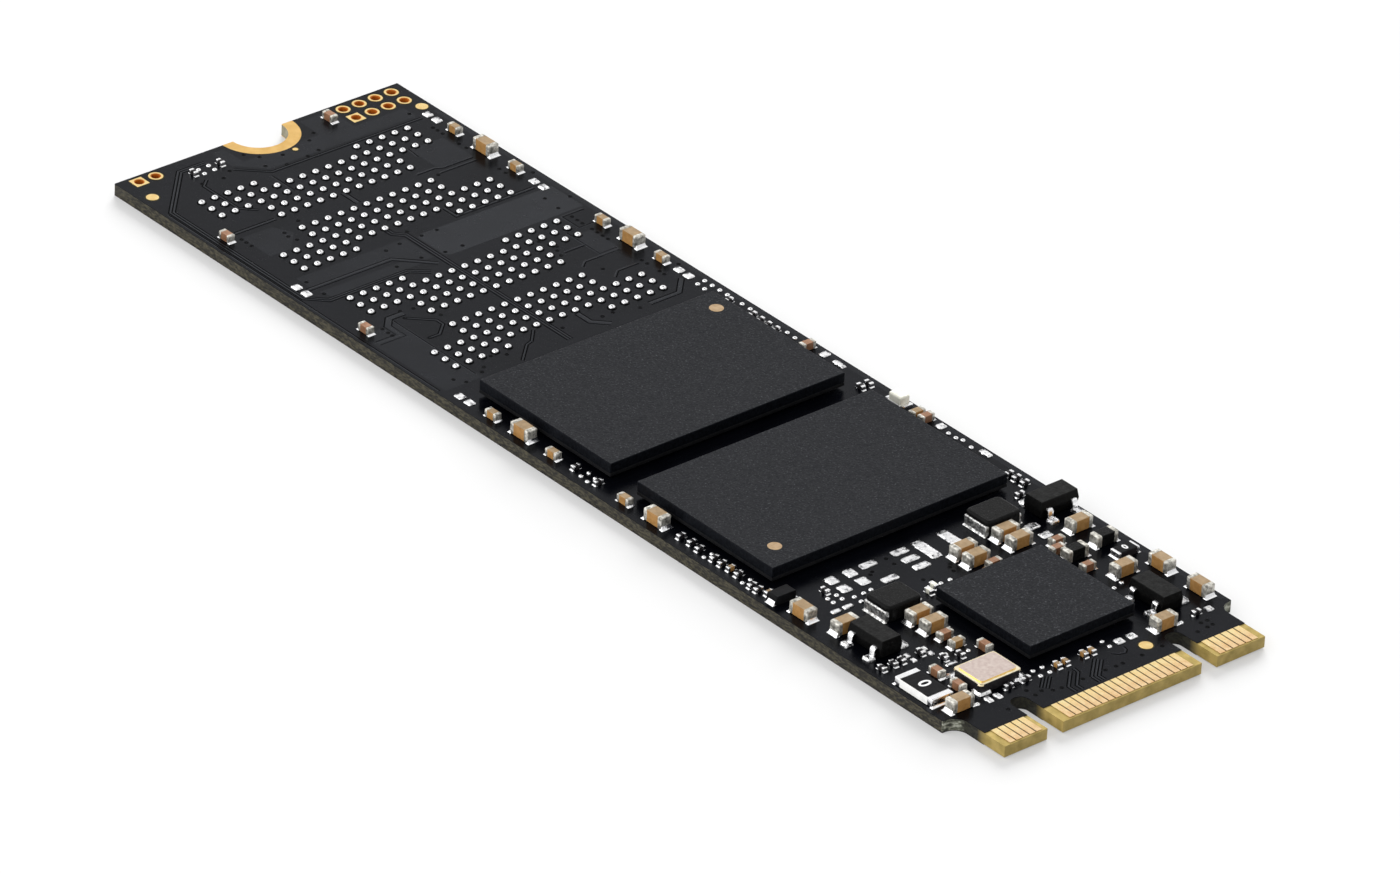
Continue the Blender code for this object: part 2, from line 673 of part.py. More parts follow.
def lead_outline():
    """One lead seen from its side: way out from the body's face, and height above the seat."""
    inside = PADDLE_WIDTH / 4 - REGULATOR_WIDTH / 2
    low = LEAD_LEVEL - LEAD_THICKNESS / 2
    high = LEAD_LEVEL + LEAD_THICKNESS / 2
    outer = LEAD_RISER + LEAD_THICKNESS
    return [
        (inside, low),
        (LEAD_RISER, low),
        (LEAD_RISER, 0),
        (LEAD_REACH, 0),
        (LEAD_REACH, LEAD_THICKNESS),
        (outer, LEAD_THICKNESS),
        (outer, high),
        (inside, high),
    ]


def lead_places():
    """Place along the body and turn of every lead, the front ones facing -Y."""
    front = [(lead * LEAD_PITCH, 0) for lead in FRONT_LEADS]
    back = [(lead * LEAD_PITCH, 180) for lead in BACK_LEADS]
    return front + back


def leads_mesh(name):
    """All the leads of one regulator, standing round its middle."""
    single = sheet_mesh("lead", [lead_outline()], LEAD_WIDTH)
    upright = Matrix(((0, 0, -1, 0), (-1, 0, 0, 0), (0, 1, 0, 0), (0, 0, 0, 1)))
    shape = bmesh.new()
    for along, turn in lead_places():
        before = set(shape.verts)
        shape.from_mesh(single)
        added = [vertex for vertex in shape.verts if vertex not in before]
        out = Matrix.Translation((LEAD_WIDTH / 2, -REGULATOR_WIDTH / 2, 0)) @ upright
        whole_turn = Matrix.Rotation(math.radians(turn), 4, "Z")
        bmesh.ops.transform(shape, matrix=Matrix.Translation((along, 0, 0)) @ whole_turn @ out, verts=added)
    return mesh_from(name, shape)


def regulator_body_mesh(name):
    """A box whose top is drawn in all round."""
    shape = bmesh.new()
    size = (REGULATOR_LENGTH, REGULATOR_WIDTH, REGULATOR_HEIGHT)
    corners = add_block(shape, size, (0, 0, REGULATOR_STANDOFF))
    for corner in corners:
        if corner.co.z > REGULATOR_STANDOFF + REGULATOR_HEIGHT / 2:
            corner.co.x -= math.copysign(REGULATOR_DRAFT, corner.co.x)
            corner.co.y -= math.copysign(REGULATOR_DRAFT, corner.co.y)
    return mesh_from(name, shape)


def build_regulator_body(name, location, turn):
    """A moulded body with room for the paddle and a slot for each lead."""
    body = place(name, regulator_body_mesh(name), "mould", location, turn)
    slot_height = LEAD_THICKNESS + 2 * POCKET_GAP
    slot_z = LEAD_LEVEL - slot_height / 2
    room_size = (PADDLE_LENGTH + 2 * POCKET_GAP, PADDLE_WIDTH + 2 * POCKET_GAP, slot_height)
    room = block_mesh(name + "_room", (room_size, (0, 0, slot_z)))
    boolean(body, cutter(room.name, room, body), "DIFFERENCE")
    slot_size = (LEAD_WIDTH + 2 * POCKET_GAP, REGULATOR_WIDTH, slot_height)
    slots = []
    for along, lead_turn in lead_places():
        way = -1 if lead_turn == 0 else 1
        slots.append((slot_size, (along, way * (REGULATOR_WIDTH / 2 + PADDLE_WIDTH / 4), slot_z)))
    slot_mesh = block_mesh(name + "_slots", *slots)
    boolean(body, cutter(slot_mesh.name, slot_mesh, body), "DIFFERENCE")


def build_lead_frame(name, location, turn):
    """A paddle with two leads in front and three behind."""
    paddle_size = (PADDLE_LENGTH, PADDLE_WIDTH, LEAD_THICKNESS)
    paddle = block_mesh(name, (paddle_size, (0, 0, LEAD_LEVEL - LEAD_THICKNESS / 2)))
    lead_frame = place(name, paddle, "solder", location, turn)
    leads = leads_mesh(name + "_leads")
    boolean(lead_frame, cutter(leads.name, leads, lead_frame), "UNION")


def build_regulators():
    for number, (along, across, turn) in enumerate(REGULATORS, 1):
        location = (*by_controller((along, across)), SEAT_Z)
        build_regulator_body(f"regulator_{number}_body", location, turn)
        build_lead_frame(f"regulator_{number}_lead_frame", location, turn)


def chip_mesh(name, size):
    """A two-ended chip along X: a block with a metal cap on each end."""
    length, width, height = size
    core_size = (length - 2 * CHIP_SKIN, width - 2 * CHIP_SKIN, height - 2 * CHIP_SKIN)
    core = bpy.data.objects.new(name, block_mesh(name, (core_size, (0, 0, CHIP_SKIN))))
    CUTTERS.objects.link(core)
    end_x = (length - CHIP_END) / 2
    end_size = (CHIP_END, width, height)
    ends = block_mesh(name + "_ends", (end_size, (-end_x, 0, 0)), (end_size, (end_x, 0, 0)))
    helper = cutter(name + "_ends", ends, core)
    boolean(core, helper, "UNION")
    mesh = finished_mesh(core)
    bpy.data.objects.remove(core)
    bpy.data.objects.remove(helper)
    return mesh


def capacitor_places():
    """Middle and turn of every larger capacitor."""
    places = []
    for site, along, edge in SITE_CAPACITORS:
        package_edge = MEMORY_Y + edge * MEMORY_LENGTH / 2
        places.append((site_x(site) + along, (package_edge + edge * FAR_Y) / 2, 0))
    for along, edge, inset in EDGE_CAPACITORS:
        places.append((CONTROLLER_X + along, edge * (FAR_Y - inset), 0))
    for offset in CROSS_CAPACITORS:
        places.append((*by_controller(offset), 90))
    return places


def build_chips():
    capacitor = chip_mesh("capacitor", CAPACITOR_SIZE)
    for number, (x, y, turn) in enumerate(capacitor_places(), 1):
        place(f"capacitor_{number:02d}", capacitor, "tan_ceramic", (x, y, SEAT_Z), turn)
    bead = chip_mesh("bead", BEAD_SIZE)
    for number, offset in enumerate(CROSS_BEADS, 1):
        place(f"ferrite_bead_{number}", bead, "ferrite", (*by_controller(offset), SEAT_Z), 90)
    resistor = chip_mesh("resistor", RESISTOR_SIZE)
    place("chip_resistor", resistor, "resistor", (*by_controller(CROSS_RESISTOR), SEAT_Z), 90)
    place("small_jumper", resistor, "resistor", (*by_controller(SMALL_JUMPER), SEAT_Z), 90)
    large_jumper = chip_mesh("large_jumper", LARGE_JUMPER_SIZE)
    place("large_jumper", large_jumper, "resistor", (*by_controller(LARGE_JUMPER), SEAT_Z))


def build_light():
    """The indicator light: a thin base with a taller lens on it."""
    middle = (site_x(SITE_COUNT - 1) + LIGHT_FROM_SITE, FAR_Y - LIGHT_FROM_EDGE, SEAT_Z)
    base_mesh = block_mesh("indicator_light", (LIGHT_BASE_SIZE, (0, 0, 0)))
    base = place("indicator_light", base_mesh, "lens", middle)
    lens = block_mesh("indicator_lens", (LIGHT_LENS_SIZE, (0, 0, LIGHT_BASE_SIZE[2] / 2)))
    boolean(base, cutter("indicator_lens", lens, base), "UNION")


clear_scene()
PARTS = new_collection("solid_state_drive")
CUTTERS = new_collection("cutters")
DRIVE = bpy.data.objects.new("solid_state_drive", None)
PARTS.objects.link(DRIVE)
build_board()
build_screw_land()
build_contacts()
build_memory()
build_controller()
build_oscillator()
build_inductors()
build_regulators()
build_chips()
build_light()
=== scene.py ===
# %% [markdown]
# # Dressing a bare-board solid state drive
#
# The solids of the drive come from its CAD source. This lesson gives them their looks: every chip, joint
# of solder, gold finger and layer of lacquer that shows in a close view. It goes from the board upwards,
# one kind of piece at a time, and ends with the floor, the light and the camera.

# %% Load the solids
import math

import bmesh
import bpy
from mathutils import Matrix, Vector


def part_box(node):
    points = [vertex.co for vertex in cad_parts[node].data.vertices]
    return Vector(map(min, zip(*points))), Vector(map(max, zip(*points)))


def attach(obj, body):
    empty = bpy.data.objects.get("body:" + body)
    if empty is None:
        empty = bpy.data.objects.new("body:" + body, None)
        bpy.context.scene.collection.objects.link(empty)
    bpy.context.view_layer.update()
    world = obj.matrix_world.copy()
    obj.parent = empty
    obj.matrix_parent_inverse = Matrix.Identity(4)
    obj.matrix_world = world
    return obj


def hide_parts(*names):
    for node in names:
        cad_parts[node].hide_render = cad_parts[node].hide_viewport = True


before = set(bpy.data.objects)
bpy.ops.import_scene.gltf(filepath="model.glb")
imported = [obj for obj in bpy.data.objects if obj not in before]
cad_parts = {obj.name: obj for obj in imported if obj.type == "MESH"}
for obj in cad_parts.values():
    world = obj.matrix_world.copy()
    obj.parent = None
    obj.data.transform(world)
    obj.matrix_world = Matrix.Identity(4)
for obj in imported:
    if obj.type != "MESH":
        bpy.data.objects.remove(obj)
scene = bpy.context.scene
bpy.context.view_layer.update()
print("nodes loaded:", len(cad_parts))

# %% [markdown]
# ## Millimetres
#
# Blender counts in metres, and the largest chip here is a few thousandths of one. Sizes are easier to read
# in millimetres, so each helper takes millimetres and multiplies once. The board's top is the level that
# nearly everything is measured from.

# %% Levels
MM = 0.001
BOARD_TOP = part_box("solder_mask_top")[1].z / MM
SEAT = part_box("capacitor_01")[0].z / MM
print("board top at", round(BOARD_TOP, 3), "mm, chips seated at", round(SEAT, 3), "mm")


# %% [markdown]
# ## Working by operator
#
# A person modelling by hand selects something, then calls a tool on it. The script does the same. The
# helpers below select one object, or pick faces, edges or points in edit mode by where they are, and the
# usual mesh tools then act on what is picked.

# %% Selecting
def only(piece):
    """Selects this piece alone and makes it the active one."""
    bpy.ops.object.select_all(action="DESELECT")
    piece.select_set(True)
    bpy.context.view_layer.objects.active = piece


def pick(piece, kind, wanted):
    """Opens the piece in edit mode with only the wanted faces, edges or points selected."""
    only(piece)
    bpy.ops.object.mode_set(mode="EDIT")
    bpy.ops.mesh.select_mode(type=kind)
    bpy.ops.mesh.select_all(action="DESELECT")
    shape = bmesh.from_edit_mesh(piece.data)
    for element in {"FACE": shape.faces, "EDGE": shape.edges, "VERT": shape.verts}[kind]:
        if wanted(element):
            element.select_set(True)
    shape.select_flush_mode()
    bmesh.update_edit_mesh(piece.data)


def put_down():
    """Leaves edit mode."""
    bpy.ops.object.mode_set(mode="OBJECT")


NEARLY = 0.9
SAME_PLACE = 1e-6


def anything(element):
    return True


def looks_up(face):
    return face.normal.z > NEARLY


def looks_down(face):
    return face.normal.z < -NEARLY


def upright(edge):
    """True for an edge that runs up and down."""
    start, end = edge.verts
    return abs(start.co.z - end.co.z) > NEARLY * edge.calc_length()


def lies_flat(edge):
    """True for an edge whose two ends are equally high."""
    start, end = edge.verts
    return abs(start.co.z - end.co.z) < SAME_PLACE


# %% [markdown]
# ## Two moves that come up often
#
# Most pieces get their edges broken, and some have a face that is drawn in and then raised or sunk. Each of
# these takes three steps by hand: pick, act and put down. With a helper it is one line.

# %% Rounding edges and stepping faces in
def round_edges(piece, wanted, width, steps=2, **settings):
    """Bevels the wanted edges by a width in millimetres."""
    pick(piece, "EDGE", wanted)
    bpy.ops.mesh.bevel(offset=width * MM, segments=steps, affect="EDGES", **settings)
    put_down()


def step_in(piece, wanted, inset, rise):
    """Insets the wanted faces and raises what is inside, both by millimetres."""
    pick(piece, "FACE", wanted)
    bpy.ops.mesh.inset(thickness=inset * MM)
    bpy.ops.transform.translate(value=(0, 0, rise * MM))
    put_down()


# %% [markdown]
# ## Starting shapes
#
# Two starts serve for almost everything. A block is a cube at its size with its edges broken by a bevel,
# because no moulded or fired piece has a knife edge. A turned piece is a ring of edges that is extruded from
# one radius and height to the next, as on a lathe, and then closed.

# %% Blocks and turned pieces
def just_added(name, scale=(1, 1, 1)):
    """Names the primitive that was just added and puts its size and place into its mesh."""
    piece = bpy.context.active_object
    piece.name = name
    piece.scale = scale
    bpy.ops.object.transform_apply(location=True, rotation=True, scale=True)
    return piece


def block(name, size, base, rounding=0.0, steps=2):
    """A box with the middle of its underside at base, and all its edges rounded."""
    bpy.ops.object.select_all(action="DESELECT")
    middle = Vector(base) + Vector((0, 0, size[2] / 2))
    bpy.ops.mesh.primitive_cube_add(size=1, location=middle * MM)
    piece = just_added(name, Vector(size) * MM)
    if rounding:
        round_edges(piece, anything, rounding, steps)
    return piece


def turned(name, sides, profile, closed=False):
    """A piece turned about the upright line through the origin, along (radius, height) points."""
    bpy.ops.object.select_all(action="DESELECT")
    radius, height = profile[0]
    bpy.ops.mesh.primitive_circle_add(vertices=sides, radius=radius * MM, location=(0, 0, height * MM))
    piece = just_added(name)
    pick(piece, "VERT", anything)
    if not closed:
        bpy.ops.mesh.edge_face_add()
    for next_radius, next_height in profile[1:]:
        step = {"value": (0, 0, (next_height - height) * MM)}
        bpy.ops.mesh.extrude_region_move(TRANSFORM_OT_translate=step)
        share = next_radius / radius
        bpy.ops.transform.resize(value=(share, share, 1), center_override=(0, 0, next_height * MM))
        radius, height = next_radius, next_height
    bpy.ops.mesh.select_all(action="SELECT")
    if closed:
        bpy.ops.mesh.remove_doubles(threshold=SAME_PLACE)
    bpy.ops.mesh.normals_make_consistent(inside=False)
    put_down()
    return piece


# %% [markdown]
# ## Copies
#
# What repeats is modelled once, at the origin, and copied. Each copy gets a mesh of its own and its place
# goes into that mesh, so that every finished piece sits at the origin like the solids do. Small things of
# one kind are then joined into one piece, and the master they were copied from is put away.

# %% Copying and joining
def copy_at(master, x, y, turn=0, z=0.0, stretch=(1, 1, 1)):
    """A copy of the master with its own mesh, turned by degrees and moved by millimetres."""
    made = master.copy()
    made.data = master.data.copy()
    scene.collection.objects.link(made)
    spot = Matrix.Translation(Vector((x, y, z)) * MM)
    made.data.transform(spot @ Matrix.Rotation(math.radians(turn), 4, "Z") @ Matrix.Diagonal((*stretch, 1)))
    return made


def join(name, pieces):
    bpy.ops.object.select_all(action="DESELECT")
    for piece in pieces:
        piece.select_set(True)
    bpy.context.view_layer.objects.active = pieces[0]
    if len(pieces) > 1:
        bpy.ops.object.join()
    whole = bpy.context.active_object
    whole.name = name
    whole.data.name = name
    return whole


def put_away(*masters):
    for master in masters:
        bpy.data.objects.remove(master, do_unlink=True)


# %% [markdown]
# ## Handing a piece over
#
# A finished piece is dressed, shaded and tied to the board. Where it shows a solid better than the solid
# itself, it takes that solid's place. Edges that turn by more than an angle stay sharp. Large faces are kept
# flat, because smooth shading would spread the light of a rounded rim over the whole face.

# %% Dressing and settling
STEEP = 0.5
LARGE_FACE = 0.3 * MM * MM


def dress(piece, material):
    piece.data.materials.clear()
    piece.data.materials.append(material)
    return piece


def dress_sides(piece, material):
    """Gives the upright faces of the piece a second finish."""
    piece.data.materials.append(material)
    for face in piece.data.polygons:
        if abs(face.normal.z) < STEEP:
            face.material_index = len(piece.data.materials) - 1
    return piece


def settle(piece, slot, *nodes, angle=40):
    """Shades the piece, with large faces flat, and lets it ride with the board in place of these solids."""
    only(piece)
    bpy.ops.object.shade_smooth_by_angle(angle=math.radians(angle))
    for face in piece.data.polygons:
        if face.area > LARGE_FACE:
            face.use_smooth = False
    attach(piece, "root")
    if nodes:
        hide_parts(*nodes)
    return piece


# %% [markdown]
# ## Finishes
#
# A finish starts as plain values on the shader. What varies over the surface is then wired in from noise on
# Object coordinates: a colour that wanders between shades, a roughness that is uneven, and a bump for the
# grain. The scale of a noise is in waves per metre, so grain a tenth of a millimetre across needs thousands.
# Nearly every finish here varies in all three ways, and the last helper, uneven, puts the three together.

# %% Building a finish
def shader_of(material):
    return material.node_tree.nodes["Principled BSDF"]


def finish(name, colour, roughness, metallic=0.0, specular=0.5, sheen_tint=(1, 1, 1)):
    material = bpy.data.materials.new(name)
    material.use_nodes = True
    plain = shader_of(material).inputs
    plain["Base Color"].default_value = (*colour, 1)
    plain["Roughness"].default_value = roughness
    plain["Metallic"].default_value = metallic
    plain["Specular IOR Level"].default_value = specular
    plain["Specular Tint"].default_value = (*sheen_tint, 1)
    return material


def node(material, kind, **values):
    """A shader node with some of its inputs set."""
    made = material.node_tree.nodes.new(kind)
    for socket, value in values.items():
        made.inputs[socket.replace("_", " ")].default_value = value
    return made


def wire(material, start, end):
    material.node_tree.links.new(start, end)


def noise(material, scale, detail=3.0, stretch=(1, 1, 1)):
    """Noise on Object coordinates, drawn out along an axis by stretch."""
    where = node(material, "ShaderNodeTexCoord")
    placed = node(material, "ShaderNodeMapping", Scale=stretch)
    made = node(material, "ShaderNodeTexNoise", Scale=scale, Detail=detail)
    wire(material, where.outputs["Object"], placed.inputs["Vector"])
    wire(material, placed.outputs["Vector"], made.inputs["Vector"])
    return made.outputs["Fac"]


def shades(material, value, stops):
    """Turns a value into a colour along (position, colour) stops."""
    ramp = node(material, "ShaderNodeValToRGB")
    while len(ramp.color_ramp.elements) < len(stops):
        ramp.color_ramp.elements.new(0.5)
    for element, (position, colour) in zip(ramp.color_ramp.elements, stops):
        element.position = position
        element.color = (*colour, 1)
    wire(material, value, ramp.inputs["Fac"])
    return ramp.outputs["Color"]


def colour_from(material, value, stops):
    wire(material, shades(material, value, stops), shader_of(material).inputs["Base Color"])


USUAL_LOW, USUAL_HIGH = 0.3, 0.7


def roughness_from(material, value, low, high):
    """Roughness from low to high over the range that a noise usually stays in."""
    spread = node(
        material, "ShaderNodeMapRange", From_Min=USUAL_LOW, From_Max=USUAL_HIGH, To_Min=low, To_Max=high
    )
    wire(material, value, spread.inputs["Value"])
    wire(material, spread.outputs["Result"], shader_of(material).inputs["Roughness"])


def bump_from(material, value, height):
    bump = node(material, "ShaderNodeBump", Strength=1.0, Distance=height * MM)
    wire(material, value, bump.inputs["Height"])
    wire(material, bump.outputs["Normal"], shader_of(material).inputs["Normal"])


def uneven(name, cloud, stops, gloss, roughness, grain, height, **plain):
    """A finish with three noises, each a (scale, detail, stretch): cloud, gloss and grain."""
    low, high = roughness
    made = finish(name, stops[-1][1], (low + high) / 2, **plain)
    colour_from(made, noise(made, *cloud), stops)
    roughness_from(made, noise(made, *gloss), low, high)
    bump_from(made, noise(made, *grain), height)
    return made


# %% [markdown]
# ## The lacquer
#
# The board is coated with a near-black lacquer, the solder mask. It is satin, a little cloudy where the
# copper under it changes, and has the faint orange peel of a sprayed coat. One flat black would look like a
# hole in the picture, so colour, gloss and peel are noise, and the reflection is tinted a cool blue.

# %% Solder mask
COOL = (0.8, 0.86, 1.0)
SATIN = {"gloss": (900, 3), "roughness": (0.19, 0.29), "grain": (2500, 2), "height": 0.006}
lacquer_stops = [(0.3, (0.0006, 0.0008, 0.0017)), (0.7, (0.0016, 0.0019, 0.0034))]
lacquer = uneven(
    "satin_solder_mask", cloud=(350, 4), stops=lacquer_stops, specular=0.084, sheen_tint=COOL, **SATIN
)
for name in ("solder_mask_top", "solder_mask_bottom"):
    dress(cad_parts[name], lacquer)
print("lacquer on both faces of the board")

# %% [markdown]
# ## The laminate
#
# The core is layers of glass cloth in resin. Its sawn edge is a mottled olive grey. On the tongue of the
# connector the lacquer stops, and there the bare resin shows yellow green. At the two shoulders the cutter
# turned a tight corner and left the wall pale and glassy, with pale streaks that are painted highlights. The
# round ends of the notches lie in deep shade, which is painted on them as a near black. Each of the four is a
# range of shades along a noise. The noise of the edge is drawn out along the layers.

# %% Four shades of laminate
laminate = finish("bare_laminate", (0.2, 0.15, 0.06), roughness=0.55, specular=0.3)
weave = noise(laminate, 900, 4, (4, 4, 12))
haze = noise(laminate, 1400, 3)
# painted highlights: the pale end of these streaks stands in for glints on the glassy shoulder walls
glint_streaks = noise(laminate, 2600, 3, (1, 1, 2))
edge_stops = [(0.37, (0.005, 0.0044, 0.003)), (0.5, (0.0275, 0.0242, 0.0148)), (0.63, (0.067, 0.059, 0.036))]
edge_colour = shades(laminate, weave, edge_stops)
tongue_colour = shades(laminate, haze, [(0.3, (0.265, 0.195, 0.05)), (0.7, (0.44, 0.325, 0.105))])
# painted shade: the round ends of the notches are painted near black because they lie in deep shade
notch_painted_shade = shades(laminate, weave, [(0.37, (0.003, 0.003, 0.002)), (0.63, (0.026, 0.025, 0.016))])
glass_and_glint_stops = [(0.36, (0.03, 0.031, 0.024)), (0.52, (0.13, 0.135, 0.1)), (0.66, (0.42, 0.43, 0.36))]
glass_and_glint_colour = shades(laminate, glint_streaks, glass_and_glint_stops)
bump_from(laminate, weave, 0.02)
print("laminate in shades for edge, tongue, notches and shoulders")


# %% [markdown]
# ## Shades by place
#
# The core is one solid. Its faces could each get a finish, but those would meet in hard lines. One material
# that reads where a point is can fade from one shade to the next. The helpers below give a point's axes, a
# share from 0 to 1 between two places, a sum or product of values, and a mix of two colours by a share.

# %% Fades and blends
def axes_of(material):
    """The sockets X, Y and Z of a point, in metres."""
    place = node(material, "ShaderNodeTexCoord")
    axes = node(material, "ShaderNodeSeparateXYZ")
    wire(material, place.outputs["Object"], axes.inputs["Vector"])
    return axes.outputs


def fade(material, value, low, high):
    """From 0 at low to 1 at high, in millimetres."""
    made = node(material, "ShaderNodeMapRange", From_Min=low * MM, From_Max=high * MM)
    wire(material, value, made.inputs["Value"])
    return made.outputs["Result"]


def calculate(material, operation, *values):
    """The operation on these values, each a socket or a plain number."""
    made = node(material, "ShaderNodeMath")
    made.operation = operation
    for socket, value in zip(made.inputs, values):
        if isinstance(value, float):
            socket.default_value = value
        else:
            wire(material, value, socket)
    return made.outputs[0]


def blend(material, share, first, second):
    """A colour between the first and the second."""
    made = node(material, "ShaderNodeMix")
    made.data_type = "RGBA"
    wire(material, share, made.inputs["Factor"])
    wire(material, first, made.inputs[6])
    wire(material, second, made.inputs[7])
    return made.outputs[2]


# %% [markdown]
# ## Placing the shades
#
# The places are measured on the board: the lacquer ends a little behind the fingers, the notches start
# before that, and a shoulder is both far along the board and far from its middle line. Later blends lie on
# top of earlier ones, so the tongue comes last.

# %% Laminate by place
BARE_FROM, BARE_TO = 37.7, 38.5
SHOULDER_X, SHOULDER_Y = 35.95, 10.0
NOTCH_FROM = 36.3
SOFT = 0.05
laminate_axes = axes_of(laminate)
along, across = laminate_axes["X"], laminate_axes["Y"]
on_tongue = fade(laminate, along, BARE_FROM, BARE_TO)
in_notch = fade(laminate, along, NOTCH_FROM - 2 * SOFT, NOTCH_FROM)
past_shoulder = fade(laminate, along, SHOULDER_X - SOFT, SHOULDER_X)
off_middle = calculate(laminate, "ABSOLUTE", across)
beside_tongue = fade(laminate, off_middle, SHOULDER_Y - SOFT, SHOULDER_Y + SOFT)
on_shoulder = calculate(laminate, "MULTIPLY", past_shoulder, beside_tongue)
# the notch ends take the painted shade
edge_and_notch_shade = blend(laminate, in_notch, edge_colour, notch_painted_shade)
edge_notch_and_glints = blend(laminate, on_shoulder, edge_and_notch_shade, glass_and_glint_colour)
laminate_colour = blend(laminate, on_tongue, edge_notch_and_glints, tongue_colour)
wire(laminate, laminate_colour, shader_of(laminate).inputs["Base Color"])
dress(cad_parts["laminate_core"], laminate)
print("laminate fades to bare resin from", BARE_FROM, "to", BARE_TO, "mm")

# %% [markdown]
# ## Gold
#
# The fingers are plated with a warm gold, paler near the board and darker and more orange towards their
# tips. Two ranges of shades are therefore blended along the board, and the gloss is uneven in lines along the
# way they slide.
# The rims of holes, the screw land and the ring under the clock's lid were plated apart, so each has its own
# shade. A metal with one roughness all over looks like plastic, so every one of them gets noise.

# %% Gold
TIPWARD_FROM, TIPWARD_TO = 38.5, 39.5
gold = finish("plated_gold", (0.92, 0.64, 0.32), roughness=0.32, metallic=1.0)
gold_cloud = noise(gold, 2500, 4)
inner_gold = shades(gold, gold_cloud, [(0.3, (0.98, 0.71, 0.31)), (0.7, (1.0, 0.84, 0.46))])
tip_gold = shades(gold, gold_cloud, [(0.3, (0.84, 0.54, 0.26)), (0.7, (1.0, 0.75, 0.43))])
# the gold changes from paler to darker and more orange along the board, towards the tips
towards_tip = fade(gold, axes_of(gold)["X"], TIPWARD_FROM, TIPWARD_TO)
wire(gold, blend(gold, towards_tip, inner_gold, tip_gold), shader_of(gold).inputs["Base Color"])
roughness_from(gold, noise(gold, 3000, 3, (1, 6, 1)), 0.24, 0.42)
bump_from(gold, noise(gold, 5000, 2), 0.004)

pale_gold = uneven(
    "pale_gold", cloud=(2500, 4), stops=[(0.3, (0.91, 0.62, 0.23)), (0.7, (1.0, 0.78, 0.36))],
    gloss=(3500, 3), roughness=(0.24, 0.42), grain=(4000, 2), height=0.006, metallic=1.0,
)
land_gold = uneven(
    "land_gold", cloud=(1500, 4), stops=[(0.3, (0.80, 0.49, 0.14)), (0.7, (0.92, 0.60, 0.21))],
    gloss=(3500, 3), roughness=(0.28, 0.46), grain=(4000, 2), height=0.006, metallic=1.0,
)
# partly painted highlight: the ring's gold is paler and creamier than the plating, for the glint along its
# rim
ring_gold_glint = uneven(
    "gold_with_painted_glint", cloud=(3000, 3), stops=[(0.3, (0.95, 0.8, 0.5)), (0.7, (1.0, 0.94, 0.74))],
    gloss=(4000, 3), roughness=(0.2, 0.36), grain=(4000, 2), height=0.006, metallic=1.0,
)
print("gold for fingers, rims, land and ring; fingers worn from", TIPWARD_FROM, "to", TIPWARD_TO, "mm")

# %% [markdown]
# ## Solder
#
# Solder has frozen from a liquid. Where it stood alone it drew itself into smooth domes. In the joints of
# chips it is slightly lumpy. On bare pads it settled unevenly, and on the ends of the inductors it stayed
# rough. The shape can't show all of that at this size, so there are four finishes. The dark patches on the
# pads and the dark mottling on the inductors' ends are painted reflections.

# %% Solder
dome_solder = uneven(
    "frozen_solder", cloud=(2500, 3), stops=[(0.3, (0.9, 0.9, 0.91)), (0.7, (0.99, 0.99, 1.0))],
    gloss=(4000, 3), roughness=(0.08, 0.2), grain=(3500, 2), height=0.02, metallic=1.0,
)
solder = uneven(
    "bright_solder", cloud=(2500, 3), stops=[(0.3, (0.88, 0.88, 0.89)), (0.7, (0.97, 0.97, 0.98))],
    gloss=(4000, 3), roughness=(0.12, 0.34), grain=(3500, 2), height=0.03, metallic=1.0,
)
# painted reflections: the dark stops give each pad dark patches where its uneven top would reflect dark
# things
pad_solder = uneven(
    "solder_with_painted_reflections", cloud=(3500, 3),
    stops=[(0.33, (0.3, 0.3, 0.31)), (0.44, (0.9, 0.9, 0.91)), (0.6, (1.0, 1.0, 1.0))],
    gloss=(4000, 3), roughness=(0.15, 0.4), grain=(3000, 2), height=0.05, metallic=1.0,
)
# partly painted reflections: the dark stops mottle the rough ends with dark reflections
rough_solder = uneven(
    "rough_solder", cloud=(5500, 4),
    stops=[(0.34, (0.2, 0.2, 0.2)), (0.5, (0.6, 0.6, 0.59)), (0.64, (0.98, 0.98, 0.97))],
    gloss=(4000, 3), roughness=(0.25, 0.5), grain=(6000, 3), height=0.05, metallic=1.0,
)
print("solder in domes, joints, pads and rough ends")

# %% [markdown]
# ## Tin and the lid's metal
#
# The ends of the chips were dipped in tin, which is duller than solder, and its colour is mottled from dark
# grey to pale cream. It is only part metal to the shader, which keeps it from mirroring the room. The clock's
# lid is rolled sheet, satin and warm, and its gloss is uneven in lines along the rolling.

# %% Tin and lid
tin = uneven(
    "dipped_tin", cloud=(4500, 3),
    stops=[(0.32, (0.20, 0.195, 0.17)), (0.48, (0.50, 0.48, 0.43)), (0.66, (0.82, 0.80, 0.73))],
    gloss=(5000, 3), roughness=(0.32, 0.52), grain=(5000, 2), height=0.03, metallic=0.7,
)
lid_metal = uneven(
    "satin_lid", cloud=(4000, 4), stops=[(0.3, (0.66, 0.53, 0.48)), (0.7, (0.80, 0.69, 0.63))],
    gloss=(6000, 2, (1, 8, 1)), roughness=(0.28, 0.45), grain=(9000, 2), height=0.003, metallic=1.0,
)
print("tin for chip ends, sheet metal for the lid")

# %% [markdown]
# ## Moulding compound
#
# Memory and controller packages are black epoxy full of ground quartz. Close up it is a matte charcoal with
# pale specks. The highest peaks of a fine noise make the specks, and two more noises vary the gloss and the
# grain. The sides of a package were sawn, so they are smoother. They have a finish of their own, with less
# sheen and no specks, as painted shade on the sides. The small mouldings of the regulators have a top and a
# side finish too, and the side finish is blacker, as painted shade.

